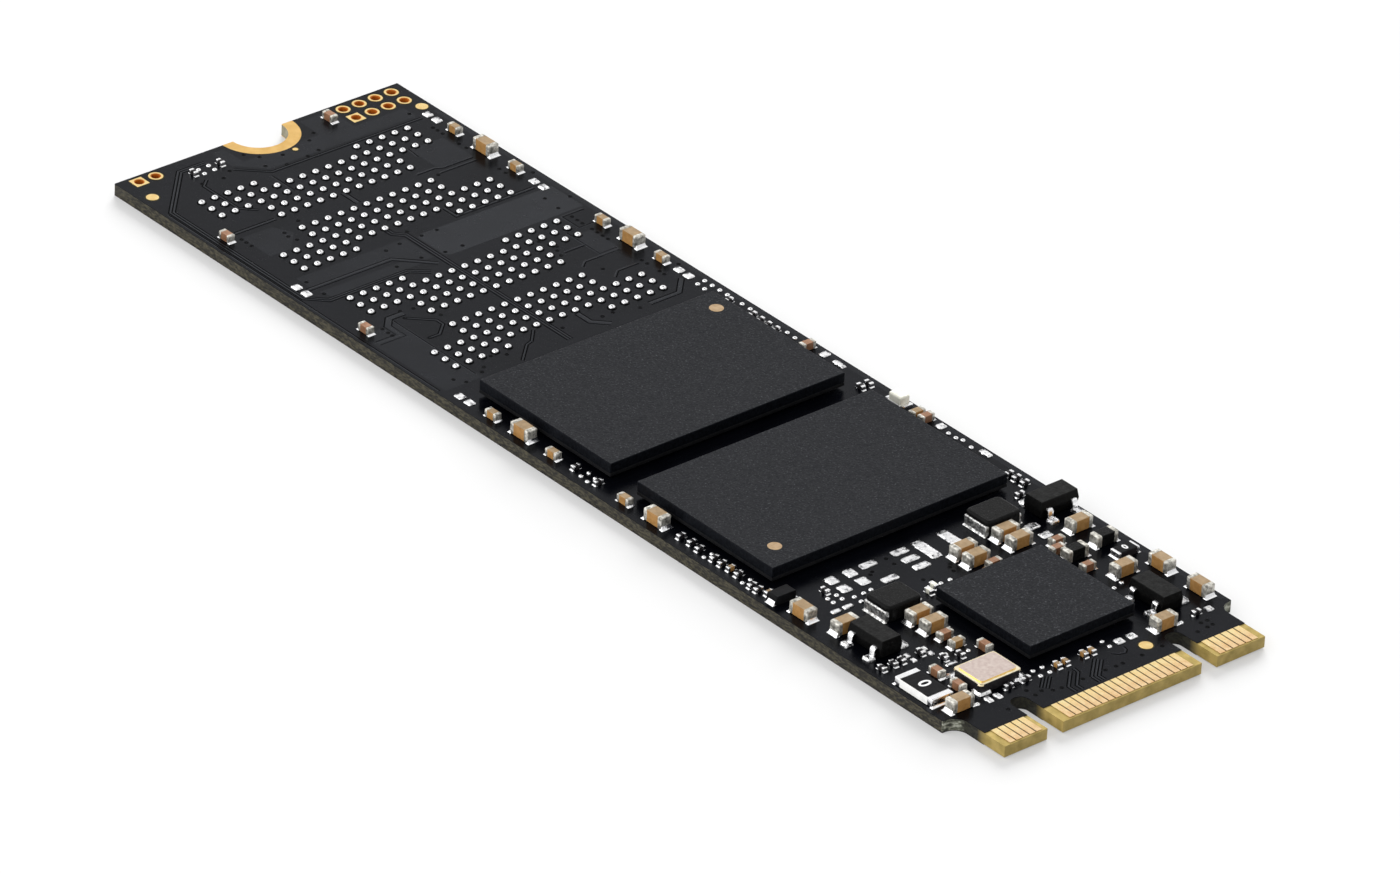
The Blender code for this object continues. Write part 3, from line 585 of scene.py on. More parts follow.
# %% Moulding compound
compound = uneven(
    "moulding_compound", cloud=(9000, 2),
    stops=[(0.35, (0.001, 0.0011, 0.0016)), (0.6, (0.003, 0.0032, 0.0042)), (0.76, (0.06, 0.06, 0.066))],
    gloss=(6000, 2), roughness=(0.48, 0.62), grain=(7000, 3), height=0.02, specular=0.247, sheen_tint=COOL,
)
# painted shade: less sheen and no specks darken the sawn sides of the packages
sawn_shaded_side = uneven(
    "sawn_mould_painted_shade", cloud=(6000, 3), stops=[(0.35, (0.001, 0.0012, 0.002)), (0.75, (0.006, 0.007, 0.0095))],
    gloss=(5000, 2), roughness=(0.42, 0.58), grain=(7000, 3), height=0.015, specular=0.1, sheen_tint=COOL,
)
small_compound = uneven(
    "small_moulding", cloud=(9000, 2), stops=[(0.35, (0.002, 0.002, 0.002)), (0.7, (0.008, 0.008, 0.0078))],
    gloss=(2500, 3), roughness=(0.45, 0.65), grain=(7000, 3), height=0.02, specular=0.16,
)
# painted shade: the regulators' sides are painted blacker than their tops
small_shaded_side = finish("small_moulding_painted_shade_side", (0.002, 0.002, 0.002), roughness=0.5, specular=0.07)
shaded_side_stops = [(0.35, (0.001, 0.001, 0.001)), (0.7, (0.004, 0.004, 0.004))]
colour_from(small_shaded_side, noise(small_shaded_side, 6000, 3), shaded_side_stops)
bump_from(small_shaded_side, noise(small_shaded_side, 7000, 3), 0.012)
print("compound for tops and sides of large and small mouldings")

# %% [markdown]
# ## Carriers, silicon and quartz
#
# The carrier under a package shows as a dark line below the compound. The silicon in the packages and the
# clock's slice of quartz can't be seen from outside. They are solids all the same and may be looked at when
# the drive is taken apart, so they are dressed as well, though more plainly.

# %% Carrier, silicon and quartz
carrier = finish("package_carrier", (0.012, 0.013, 0.014), roughness=0.5, specular=0.15)
colour_from(carrier, noise(carrier, 3000, 3), [(0.3, (0.004, 0.0042, 0.005)), (0.7, (0.008, 0.0083, 0.009))])
bump_from(carrier, noise(carrier, 6000, 2), 0.006)

wafer = finish("polished_silicon", (0.11, 0.11, 0.13), roughness=0.2, metallic=0.3)
colour_from(wafer, noise(wafer, 800, 2), [(0.3, (0.09, 0.09, 0.11)), (0.7, (0.13, 0.13, 0.15))])

blank = finish("quartz_blank", (0.80, 0.82, 0.85), roughness=0.08)
colour_from(blank, noise(blank, 900, 2), [(0.3, (0.76, 0.78, 0.82)), (0.7, (0.84, 0.86, 0.88))])
dies = ("memory_3_die", "memory_4_die", "controller_die")
for name in dies:
    dress(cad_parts[name], wafer)
dress(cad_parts["oscillator_crystal"], blank)
print("silicon on", len(dies), "dies, quartz on the clock's blank")


# %% [markdown]
# ## Ceramics and resins
#
# Chip capacitors are fired clay: tan on most, red brown on some of the smaller ones. The resistor and the
# two links have a black glaze, inductors and beads are ferrite, and the lamp is cream resin. They differ in
# colour and gloss but vary alike, so one helper mixes them.

# %% Ceramics
GLOSS_SPREAD = 0.08


def fired(name, dark, pale, roughness, specular, height):
    """A fired or cast finish between two shades, with grain of this height."""
    return uneven(
        name,
        cloud=(3500, 4),
        stops=[(0.3, dark), (0.7, pale)],
        gloss=(5000, 2),
        roughness=(roughness - GLOSS_SPREAD, roughness + GLOSS_SPREAD),
        grain=(8000, 2),
        height=height,
        specular=specular,
    )


# painted light: the same tan clay, brighter and warmer, for the sides of the tan bodies
lit_side_clay = fired("tan_ceramic_painted_lit_side", (0.31, 0.155, 0.045), (0.43, 0.235, 0.08), 0.45, 0.25, 0.008)
tan_clay = fired("tan_ceramic", (0.215, 0.145, 0.075), (0.305, 0.215, 0.122), 0.45, 0.25, 0.008)
brown_clay = fired("brown_ceramic", (0.18, 0.085, 0.042), (0.28, 0.14, 0.074), 0.45, 0.4, 0.008)
white_clay = fired("white_ceramic", (0.84, 0.84, 0.82), (0.95, 0.95, 0.93), 0.5, 0.3, 0.006)
black_glaze = fired("black_glaze", (0.004, 0.004, 0.0045), (0.008, 0.008, 0.009), 0.4, 0.06, 0.004)
black_ceramic = fired("black_ceramic", (0.010, 0.009, 0.010), (0.02, 0.018, 0.02), 0.4, 0.15, 0.006)
ferrite = fired("black_ferrite", (0.004, 0.004, 0.004), (0.007, 0.007, 0.007), 0.3, 0.065, 0.012)
cream_resin = fired("cream_lens", (0.66, 0.65, 0.55), (0.80, 0.79, 0.70), 0.35, 0.4, 0.006)
mark_tan = fired("tan_mark", (0.26, 0.17, 0.085), (0.36, 0.25, 0.14), 0.5, 0.3, 0.006)
white_print = fired("white_print", (0.62, 0.62, 0.62), (0.75, 0.75, 0.75), 0.5, 0.3, 0.003)
print("ceramics, ferrite and resins")

# %% [markdown]
# ## Copper under the lacquer
#
# The lacquer follows the copper beneath it, so the drive's wiring can be seen as faint relief. Broad areas of
# copper stand a little proud and look paler, and copper in a fine mesh comes in between. They could be cut
# into the board's top, but that solid stays as it is. Each is a thin plate instead, drawn as a flat curve
# round its outline, filled and made a mesh.

# %% Drawing on the board
AREA_RISE = 0.003


def lacquer_on_copper(name, specular, dark, pale):
    """Lacquer with copper close beneath it."""
    stops = [(0.3, dark), (0.7, pale)]
    return uneven(name, cloud=(500, 4), stops=stops, specular=specular, sheen_tint=COOL, **SATIN)


def drawn(name, route, **settings):
    """A curve through the points of the route, with these settings, made into a mesh on the board's plane."""
    drawing = bpy.data.curves.new(name, "CURVE")
    for setting, value in settings.items():
        setattr(drawing, setting, value)
    spline = drawing.splines.new("POLY")
    spline.use_cyclic_u = drawing.dimensions == "2D"
    spline.points.add(len(route) - 1)
    for point, (x, y) in zip(spline.points, route):
        point.co = (x * MM, y * MM, 0, 1)
    piece = bpy.data.objects.new(name, drawing)
    scene.collection.objects.link(piece)
    only(piece)
    bpy.ops.object.convert(target="MESH")
    return bpy.context.active_object


def area(outline, material):
    """A thin plate with this outline on the board's top."""
    piece = drawn("area", outline, dimensions="2D", fill_mode="BOTH", extrude=AREA_RISE * MM)
    piece.data.transform(Matrix.Translation((0, 0, BOARD_TOP * MM)))
    return dress(piece, material)


# %% [markdown]
# ## The areas
#
# Each outline goes round one area, with only the corners that it has. The strip between the two bare sites
# is solid copper, and the rest are mesh.

# %% Broad areas of copper
pale_lacquer = lacquer_on_copper("lacquer_on_copper", 0.15, (0.0024, 0.003, 0.0046), (0.0044, 0.0052, 0.0074))
mid_lacquer = lacquer_on_copper("lacquer_on_mesh", 0.112, (0.0016, 0.002, 0.0032), (0.0032, 0.0038, 0.0058))
pale_outlines = [
    [(-24.27, 10.45), (-21.23, 10.45), (-21.23, 0.1), (-21.5, -0.25), (-24.0, -0.25), (-24.27, 0.1)],
]
mid_outlines = [
    [(-32.9, 8.9), (-30.0, 8.9), (-30.0, 6.5), (-30.3, 6.2), (-32.9, 6.2)],
    [(-18.7, 8.9), (-15.7, 8.9), (-15.7, 7.4), (-18.7, 7.4)],
    [(-24.4, -0.97), (-21.6, -0.97), (-21.6, -1.5), (-22.75, -2.75), (-22.75, -9.3), (-24.4, -9.3)],
    [(-22.3, -2.9), (-21.4, -2.0), (-21.4, -8.9), (-22.3, -9.2)],
    [
        (-39.6, 2.95), (-39.6, 5.4), (-37.2, 5.4), (-37.2, 9.3), (-35.95, 9.3), (-35.95, -2.2), (-37.6, -3.9),
        (-39.6, -3.9), (-39.6, -2.95), (-37.6, -2.95), (-37.6, 2.95),
    ],
    [(-16.75, -7.65), (-8.75, -7.65), (-8.75, -10.5), (-16.75, -10.5)],
    [(-30.2, -6.6), (-28.9, -5.9), (-27.4, -7.3), (-27.4, -8.9), (-30.2, -8.9)],
    [(-35.9, 10.92), (35.6, 10.92), (35.6, 10.55), (-35.9, 10.55)],
]
plates = [area(outline, pale_lacquer) for outline in pale_outlines]
plates += [area(outline, mid_lacquer) for outline in mid_outlines]
settle(join("copper_areas", plates), "solder_mask")
print("copper areas:", len(plates))


# %% [markdown]
# ## Gaps between tracks
#
# Where tracks run close together, the narrow gaps between them hold more lacquer and look darker. A gap is a
# line with a fine round section, flattened onto the board, and the track beside it is drawn the same way,
# wider and paler. The darkness of a gap is partly painted shade and the paleness of a track partly a painted
# highlight, for the shaded and the lit side of their relief. A bundle is one route with several lines side by
# side. The route is moved sideways at each corner along the line that halves the corner, so that the lines
# stay evenly apart round the bends.

# %% Lines side by side
SHARPEST_MITRE = 0.4
LINE_HEIGHT = 0.02
GAP_WIDTH = 0.085


def beside(route, offset):
    """The route moved sideways by offset, with mitred corners."""
    points = [Vector(point) for point in route]
    moved = []
    for index, point in enumerate(points):
        before = (point - points[index - 1]).normalized() if index else None
        after = (points[index + 1] - point).normalized() if index + 1 < len(points) else None
        before = before or after
        after = after or before
        halfway = Vector((-before.y - after.y, before.x + after.x)).normalized()
        square = Vector((-after.y, after.x))
        moved.append(point + halfway * (offset / max(halfway.dot(square), SHARPEST_MITRE)))
    return moved


def flat_line(name, route, width):
    """A fine line along the route, flattened onto the board's top."""
    line = {"dimensions": "3D", "twist_mode": "Z_UP", "bevel_resolution": 0, "use_fill_caps": True}
    piece = drawn(name, route, bevel_depth=width / 2 * MM, **line)
    flat = Matrix.Diagonal((1, 1, LINE_HEIGHT / width, 1))
    piece.data.transform(Matrix.Translation((0, 0, BOARD_TOP * MM)) @ flat)
    return piece


# partly painted shade: lacquer with almost no sheen, dark in the gaps between tracks and round the domes
gap_and_shade_lacquer = finish("lacquer_in_gaps_painted_shade", (0.001, 0.001, 0.0012), roughness=0.55, specular=0.012)
gap_cloud = noise(gap_and_shade_lacquer, 900, 3)
colour_from(gap_and_shade_lacquer, gap_cloud, [(0.3, (0.0006, 0.0006, 0.0008)), (0.7, (0.0016, 0.0017, 0.002))])
bump_from(gap_and_shade_lacquer, noise(gap_and_shade_lacquer, 3000, 2), 0.004)
print("gaps are", GAP_WIDTH, "mm wide")

# %% [markdown]
# ## Routes
#
# A row holds the number of gaps, their step, and the corners of the route. The routes keep to the bare parts:
# the mounting end, the ground in and round the two bare sites, and the strip in front of the controller.
# Under the packages none could be seen.

# %% Track gaps
edge_route = [(-38.85, -4.9), (-38.85, -6.9), (-35.1, -10.4), (-22.3, -10.4)]
edge_route += [(-21.2, -9.3), (-21.2, -3.3), (-20.3, -2.2)]
bundles = [
    (3, 0.2, edge_route),
    (2, 0.2, [(-35.6, 9.4), (-35.6, -2.3), (-37.2, -4.05)]),
    (1, 0.2, [(-35.2, -2.62), (-33.0, -2.62)]),
    (2, 0.2, [(-37.1, -6.2), (-36.6, -6.8), (-33.2, -6.8), (-32.3, -5.9)]),
    (2, 0.35, [(-31.0, -0.47), (-29.5, -0.47)]),
    (3, 0.2, [(-25.9, -1.2), (-25.3, -1.2), (-24.7, -0.6), (-9.2, -0.6)]),
    (2, 0.3, [(-20.9, -1.2), (-22.9, -3.2), (-22.9, -9.6)]),
    (2, 0.25, [(-24.75, 9.4), (-24.75, 3.35), (-25.9, 3.35)]),
    (1, 0.2, [(-29.85, 8.8), (-29.85, 6.5), (-30.1, 6.0), (-30.1, 4.6)]),
    (1, 0.2, [(-29.45, 8.8), (-29.45, 5.9)]),
    (1, 0.2, [(-33.0, 6.25), (-31.9, 6.15)]),
    (2, 0.25, [(-30.85, -5.8), (-30.85, -8.9)]),
    (2, 0.45, [(-17.4, -6.7), (-17.4, -7.8), (-16.7, -8.45), (-15.45, -8.45), (-15.45, -10.2)]),
    (2, 0.2, [(-16.9, -7.0), (-15.6, -5.6), (-15.0, -5.6), (-14.2, -6.5), (-14.2, -7.3)]),
    (2, 0.18, [(-11.3, -1.7), (-10.35, -2.6), (-10.2, -3.1), (-8.9, -4.5)]),
    (2, 0.4, [(-11.3, 1.7), (-10.1, 1.7), (-9.2, 2.6)]),
    (2, 0.35, [(-10.9, 9.5), (-9.7, 8.3), (-9.7, 6.0)]),
    (1, 0.2, [(-15.8, 8.8), (-15.8, 6.1), (-15.4, 5.6)]),
    (1, 0.2, [(-13.8, 8.6), (-13.8, 7.0), (-13.3, 6.4)]),
    (1, 0.2, [(-19.2, 7.45), (-16.1, 7.45), (-16.1, 8.8)]),
    (1, 0.2, [(-17.4, 7.4), (-17.4, 5.8)]),
    (1, 0.2, [(-20.9, 10.2), (-20.9, 8.5), (-19.3, 8.5), (-19.3, 10.0)]),
    (1, 0.2, [(-17.0, -7.75), (-9.3, -7.75)]),
    (1, 0.2, [(-35.0, -10.72), (-9.0, -10.72)]),
    (4, 0.2, [(36.25, 0.5), (37.5, -0.85), (38.1, -0.85)]),
    (2, 0.2, [(36.15, -1.3), (36.6, -1.35), (37.6, -2.35), (38.1, -2.35)]),
    (2, 0.2, [(36.3, -1.65), (37.45, -2.85), (38.1, -2.85)]),
    (4, 0.18, [(35.9, -3.1), (36.75, -4.05)]),
    (1, 0.2, [(36.1, 2.6), (36.45, 2.55), (36.7, 2.25), (36.6, 1.8), (36.25, 1.5)]),
]
gaps = []
tracks = []
for count, step, route in bundles:
    first = -(count - 1) / 2 * step
    for number in range(count):
        offset = first + number * step
        gaps.append(flat_line("gap", beside(route, offset), GAP_WIDTH))
        if number or count == 1:
            tracks.append(flat_line("track", beside(route, offset - step / 2), step - GAP_WIDTH))
# the dark gaps carry painted shade and the pale tracks a painted highlight, besides the copper beneath
settle(dress(join("track_gaps", gaps), gap_and_shade_lacquer), "solder_mask")
settle(dress(join("tracks", tracks), pale_lacquer), "solder_mask")
print("track gaps:", len(gaps), "and", len(tracks), "tracks in", len(bundles), "bundles")

# %% [markdown]
# ## Vias
#
# Where a track changes sides it goes through a small plated hole, a via. The lacquer fills it and leaves a
# dark dimple with a soft rim. One is turned and copied, with few sides, because there are over a hundred.

# %% Vias
via_lacquer = finish("lacquer_in_vias", (0.003, 0.0031, 0.0034), roughness=0.5, specular=0.025)
via_cloud = noise(via_lacquer, 900, 3)
colour_from(via_lacquer, via_cloud, [(0.3, (0.002, 0.002, 0.0023)), (0.7, (0.004, 0.0042, 0.0046))])
via_rim = [(0.14, 0.0), (0.135, 0.01), (0.105, 0.014), (0.08, 0.006), (0.03, 0.004)]
via = dress(turned("via", 10, via_rim), via_lacquer)
via_places = [
    (-36.46, 9.13), (-34.24, 9.2), (-33.8, 9.2), (-33.3, 9.2), (-31.7, 9.2), (-31.04, 9.26),
    (-27.8, 9.2), (-27.2, 9.2), (-26.25, 10.6), (-22.6, 10.5), (-23.3, 9.1), (-21.9, 9.0), (-29.4, 5.7),
    (-38.0, 2.8), (-37.4, 2.0), (-36.1, 1.7), (-35.9, 0.7), (-36.9, -0.45), (-35.8, -1.0),
    (-37.5, -1.8), (-36.4, -2.2), (-38.3, -2.4), (-24.1, 1.3), (-24.1, 0.1), (-21.7, 1.35),
    (-21.7, 0.0), (-25.0, -0.3), (-24.1, -1.6), (-22.0, -1.6), (-23.9, -2.8), (-22.0, -3.5),
    (-23.7, -9.07), (-22.0, -9.07), (-37.2, -4.35), (-36.7, -5.2), (-36.9, -6.7), (-30.07, -9.0),
    (-29.6, -9.0), (-29.1, -9.0), (-29.2, -6.4), (-28.7, -6.5), (-28.1, -6.3), (-29.9, -4.8),
    (-20.6, 9.0), (-20.1, 9.0), (-19.6, 9.0), (-18.7, 9.0), (-18.2, 9.0), (-17.7, 9.0), (-17.2, 9.0),
    (-14.0, 9.0), (-13.5, 9.0), (-12.35, 9.0), (-11.9, 9.0), (-14.57, 6.4), (-18.3, 5.9), (-17.9, 5.6),
    (-19.4, 5.4), (-17.3, 5.4), (-9.64, 5.2), (-10.15, 3.5), (-10.15, 2.7), (-10.5, -0.1),
    (-16.65, -8.9), (-16.1, -8.9), (-15.7, -8.9), (-17.7, -6.7), (-16.9, -7.0), (-14.2, -7.3),
    (-10.4, -5.7), (-10.0, -4.8), (-9.64, -6.85), (-9.26, -7.3), (-8.9, -8.8), (-9.54, -9.25),
    (-15.96, -5.0), (-17.5, -5.85), (-12.35, 10.5), (23.75, 0.35), (24.2, 0.25), (23.5, 0.6),
    (24.2, -1.4), (23.9, -1.8), (21.6, -2.0), (20.9, -2.0), (21.5, -3.6), (21.7, -3.9), (37.35, 4.4),
    (37.4, 2.82), (37.4, 1.34), (37.4, 0.82), (37.35, 0.05), (37.4, 7.1), (37.35, 7.9), (36.8, 7.9),
    (36.8, 8.4), (37.3, 8.35), (37.2, -7.2), (37.3, -1.63), (37.3, -3.22), (37.2, -3.8), (36.85, -4.35),
    (36.35, -5.05), (37.0, -4.95),
]
settle(join("vias", [copy_at(via, x, y, z=BOARD_TOP) for x, y in via_places]), "solder_mask", angle=60)
put_away(via)
print("vias:", len(via_places))


# %% [markdown]
# ## The screw land
#
# A half ring of gold surrounds the screw notch on both faces. The notch's wall is plated too, but it is given
# a dull olive grey instead of gold. A ring could be turned and cut in half. Spinning a small rectangle
# through half a turn about the notch's middle gives the half at once.

# %% Screw land
NOTCH_RADIUS = 1.9
SPIN_STEPS = 36
WALL_SKIN = 0.04
PLATING = 0.035
PROUD = 0.004
WALL_INSET = 0.03
land_low, land_high = (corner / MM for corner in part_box("screw_land"))
LAND_RADIUS = land_high.y
olive_wall = fired("olive_notch_wall", (0.18, 0.165, 0.11), (0.32, 0.29, 0.20), 0.5, 0.4, 0.02)


def half_ring(name, inner, outer, low, high):
    """A rectangle spun through half a turn about the middle of the notch."""
    bpy.ops.object.select_all(action="DESELECT")
    middle = Vector((0, -(inner + outer) / 2, (low + high) / 2)) * MM
    bpy.ops.mesh.primitive_plane_add(size=1, location=middle, rotation=(0, math.radians(90), 0))
    piece = just_added(name, ((high - low) * MM, (outer - inner) * MM, 1))
    pick(piece, "FACE", anything)
    bpy.ops.mesh.spin(steps=SPIN_STEPS, angle=-math.pi, center=(0, 0, 0), axis=(0, 0, 1))
    bpy.ops.mesh.select_all(action="SELECT")
    bpy.ops.mesh.normals_make_consistent(inside=False)
    put_down()
    piece.data.transform(Matrix.Translation((land_low.x * MM, 0, 0)))
    return piece


upper = half_ring("upper", NOTCH_RADIUS, LAND_RADIUS, BOARD_TOP - PLATING, BOARD_TOP + PROUD)
lower = half_ring("lower", NOTCH_RADIUS, LAND_RADIUS, 0.0, PLATING)
wall = half_ring("wall", NOTCH_RADIUS, NOTCH_RADIUS + WALL_SKIN, WALL_INSET, BOARD_TOP - WALL_INSET)
rings = [dress(upper, land_gold), dress(lower, land_gold), dress(wall, olive_wall)]
settle(join("screw_land_ring", rings), "gold", "screw_land")
print("screw land out to", round(LAND_RADIUS, 2), "mm")

# %% [markdown]
# ## Contact fingers
#
# The edge connector has gold fingers half a millimetre apart. A finger is a thin plate with its edges rolled
# over slightly by the plating. One is modelled and copied to each pin: odd pins on top, even pins underneath,
# with the pins of the two key notches missing. The place of pin 38 is the board's middle line. The gaps
# between the fingers lie in shade, so a thin bed in a deep brown lies between the fingers of a bank as
# painted shade.

# %% Fingers
FINGER = (1.6, 0.425, 0.036)
BED_SHORTER, BED_THICKNESS, BED_LIFT = 0.1, 0.02, 0.008
PIN_STEP = 0.25
MIDDLE_PIN = 38
banks = {"far": range(1, 12), "middle": range(20, 59), "near": range(67, 76)}
finger = dress(block("finger", FINGER, (0, 0, 0), rounding=0.012), gold)
# painted shade: a deep brown bed that darkens the gaps between the fingers
gap_shade_finish = fired("painted_shade_between_fingers", (0.02, 0.012, 0.003), (0.05, 0.03, 0.008), 0.6, 0.06, 0.01)
for bank, pins in banks.items():
    for face in ("top", "bottom"):
        wanted = [pin for pin in pins if pin % 2 == (face == "top")]
        low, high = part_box(f"contacts_{face}_{bank}")
        middle_x = (low.x + high.x) / 2 / MM
        made = [copy_at(finger, middle_x, (MIDDLE_PIN - pin) * PIN_STEP, z=low.z / MM) for pin in wanted]
        bed_size = (FINGER[0] - BED_SHORTER, (wanted[-1] - wanted[0]) * PIN_STEP, BED_THICKNESS)
        bed_y = (MIDDLE_PIN - (wanted[0] + wanted[-1]) / 2) * PIN_STEP
        bed = block("bed", bed_size, (middle_x, bed_y, low.z / MM + BED_LIFT), rounding=0.004, steps=1)
        made.append(dress(bed, gap_shade_finish))
        settle(join(f"{face}_fingers_{bank}", made), "gold", f"contacts_{face}_{bank}")
        print(face, bank, "bank:", len(wanted), "fingers")
put_away(finger)


# %% [markdown]
# ## Solder bumps
#
# Two memory sites were left empty, and each of their pads holds a dome of solder in a dark well. The well is
# where the lacquer stops short of the pad, and its darkness is partly painted shade, for the shadow round the
# foot of each dome. Spheres would have too many faces, since there are hundreds of domes, so dome and well
# are turned with few sides. The field is the same on both sides of the site's middle line. Its outer rows
# leave the middle free, the next rows are full, and the inner rows lack the outermost column.

# %% Bare memory sites
BUMP_PROFILE = [(0.215, 0.0), (0.228, 0.04), (0.2, 0.125), (0.13, 0.185), (0.045, 0.21)]
WELL_AND_SHADE_PROFILE = [(0.325, -0.01), (0.31, 0.004), (0.26, 0.005)]
LAST_ROW, OUTER_ROWS, FULL_ROWS = 8, 6, 4


def columns_in(row):
    """Columns on one side of the middle line that have a ball in this row."""
    if abs(row) >= OUTER_ROWS:
        return range(3, 6)
    if abs(row) >= FULL_ROWS:
        return range(1, 6)
    return range(1, 5)


ball_field = []
for row in range(-LAST_ROW, LAST_ROW + 1):
    for column in columns_in(row):
        ball_field += [(column, row), (-column, row)]
dome = dress(turned("dome", 10, BUMP_PROFILE), dome_solder)
# partly painted shade: a dark ring round each dome for the lacquer's edge and the shadow at the dome's foot
well = dress(turned("well", 12, WELL_AND_SHADE_PROFILE), gap_and_shade_lacquer)
bump = join("bump", [dome, well])
for site in (1, 2):
    solid = f"memory_site_{site}_bumps"
    low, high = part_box(solid)
    middle = (low + high) / 2 / MM
    made = [copy_at(bump, middle.x + x, middle.y + y, z=BOARD_TOP) for x, y in ball_field]
    settle(join(f"bare_site_{site}_bumps", made), "solder", solid, angle=80)
    print("bare site", site, "has", len(made), "bumps")
put_away(bump)

# %% [markdown]
# ## Packages
#
# A package is a thin carrier standing on solder balls, with a block of moulding compound on it. The block's
# edge is barely broken and catches a fine line of light, and its sawn sides get the darker finish, which is
# painted shade. The balls only show from low down, but they do show, so they are copied under the carrier
# too.

# %% Memory and controller packages
BALL_HEIGHT = 0.2
ball_profile = [(0.14, 0.0), (0.215, 0.05), (0.215, 0.15), (0.14, BALL_HEIGHT)]
ball = dress(turned("ball", 8, ball_profile), solder)
grid = [(column, row) for column in range(-3, 4) for row in range(-3, 4)]
for name, field in (("memory_3", ball_field), ("memory_4", ball_field), ("controller", grid)):
    low, high = (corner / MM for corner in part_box(name + "_cover"))
    size = high - low
    x, y = (low.x + high.x) / 2, (low.y + high.y) / 2
    cover = dress(block(name + "_mould", size, (x, y, low.z), rounding=0.035), compound)
    settle(dress_sides(cover, sawn_shaded_side), "mould", name + "_cover")
    low, high = (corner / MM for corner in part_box(name + "_substrate"))
    thickness = high.z - low.z - BALL_HEIGHT
    plate_base = (x, y, high.z - thickness)
    plate = block("plate", (size.x, size.y, thickness), plate_base, rounding=0.012, steps=1)
    balls = [copy_at(ball, x + column, y + row, z=low.z) for column, row in field]
    settle(join(name + "_carrier", [dress(plate, carrier), *balls]), "substrate", name + "_substrate")
    print(name, "is", round(size.x, 2), "by", round(size.y, 2), "mm on", len(balls), "balls")
put_away(ball)

# %% [markdown]
# ## Round marks
#
# Each memory package has one round mark near a corner, left by the mould and tan in colour. It is a turned
# disc with a shallow dish, set a hair above the compound so that the two surfaces don't fight.

# %% Marks on the memory packages
MEMORY_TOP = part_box("memory_3_cover")[1].z / MM
for name, x, y, radius in (("memory_3", -5.5, 7.6, 0.45), ("memory_4", 17.4, -7.5, 0.43)):
    profile = [(radius, -0.02), (radius, 0.004), (radius - 0.04, 0.006), (radius - 0.1, 0.002), (0.02, 0.001)]
    disc = dress(turned("disc", 32, profile), mark_tan)
    mark = join(name + "_round_mark", [copy_at(disc, x, y, z=MEMORY_TOP)])
    put_away(disc)
    settle(mark, "tan_ceramic")
print("round marks at", round(MEMORY_TOP, 2), "mm")


# %% [markdown]
# ## Two-ended chips
#
# Most small parts are a ceramic block with a metal cap on each end, held by two fillets of solder. The caps
# are blocks with well-rounded edges, a little larger than the body. A fillet starts as a low pad. Its top is
# then extruded upwards in four steps while it shrinks towards the cap, which leaves the hollow slope of real
# solder. The tan bodies are stacks of thin layers of one clay. Their sides are painted a brighter, warmer
# orange than their tops, which is painted light on the sides.

# %% A chip master
TUCK = 0.12
PAD_HEIGHT = 0.02
SOLDER_EDGE, WIDE_JOINT = 0.04, 0.6
JOINT_WIDTH, JOINT_HEIGHT, JOINT_REACH = 1.08, 0.33, 0.23
BODY_SLIM, BODY_ROUNDING, CAP_ROUNDING = 0.04, 0.05, 0.11
SLOPE = ((0.8, 0.9, 0.12), (0.74, 0.93, 0.26), (0.72, 0.95, 0.34), (0.8, 0.95, 0.22))


def fillet(name, width, height, reach, end):
    """Solder climbing from a pad to the cap whose outer face is at x = end."""
    piece = block(name, (reach + TUCK, width, PAD_HEIGHT), (end + (reach - TUCK) / 2, 0, 0))
    anchor = ((end - TUCK) * MM, 0, 0)
    for share_x, share_y, rise in SLOPE:
        pick(piece, "FACE", looks_up)
        bpy.ops.mesh.extrude_region_move(TRANSFORM_OT_translate={"value": (0, 0, rise * height * MM)})
        bpy.ops.transform.resize(value=(share_x, share_y, 1), center_override=anchor)
        put_down()
    round_edges(piece, anything, SOLDER_EDGE * min(width, WIDE_JOINT), clamp_overlap=True)
    return dress(piece, solder)


def chip(name, size, body_finish, cap, cap_finish=tin):
    """A two-ended chip along X, seated at z = 0, with caps of this length and solder at both ends."""
    length, width, height = size
    slim = BODY_SLIM * height
    body_size = (length - cap, width - slim, height - slim)
    body = dress(block("body", body_size, (0, 0, slim / 2), BODY_ROUNDING * height), body_finish)
    # the sides of tan bodies get the painted light
    if body_finish == tan_clay:
        dress_sides(body, lit_side_clay)
    parts = [body]
    for way in (1, -1):
        cap_base = (way * (length - cap) / 2, 0, 0)
        end_cap = block("cap", (cap, width, height), cap_base, CAP_ROUNDING * height, steps=3)
        parts.append(dress(end_cap, cap_finish))
        joint = fillet("joint", JOINT_WIDTH * width, JOINT_HEIGHT * height, JOINT_REACH * height, length / 2)
        parts.append(copy_at(joint, 0, 0, 0 if way == 1 else 180))
        put_away(joint)
    return join(name, parts)


# %% [markdown]
# ## The larger capacitors
#
# These have a solid each, so the copies take their place and their turn from the solids. A plain block with
# painted ends would do from far away, but the caps and the solder are what the light catches.

# %% Capacitors with a solid each
def node_spot(name):
    """Middle of a solid in millimetres, the turn that lays X along its longer side, and its seat."""
    low, high = (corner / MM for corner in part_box(name))
    size = high - low
    return (low.x + high.x) / 2, (low.y + high.y) / 2, 90 if size.y > size.x else 0, low.z


def stand_in(name, master, solid, slot):
    """Puts a copy of the master where this solid is, and in its stead."""
    x, y, turn, seat = node_spot(solid)
    settle(join(name, [copy_at(master, x, y, turn, seat)]), slot, solid)


capacitor = chip("capacitor", (1.6, 0.8, 0.8), tan_clay, cap=0.36)
names = [f"capacitor_{number:02d}" for number in range(1, 19)]
for name in names:
    stand_in(name + "_chip", capacitor, name, "tan_ceramic")
put_away(capacitor)
print("larger capacitors:", len(names))

# %% [markdown]
# ## Ferrite beads
#
# A ferrite bead is built like a capacitor, in black. It only needs another finish and a slightly lower body.

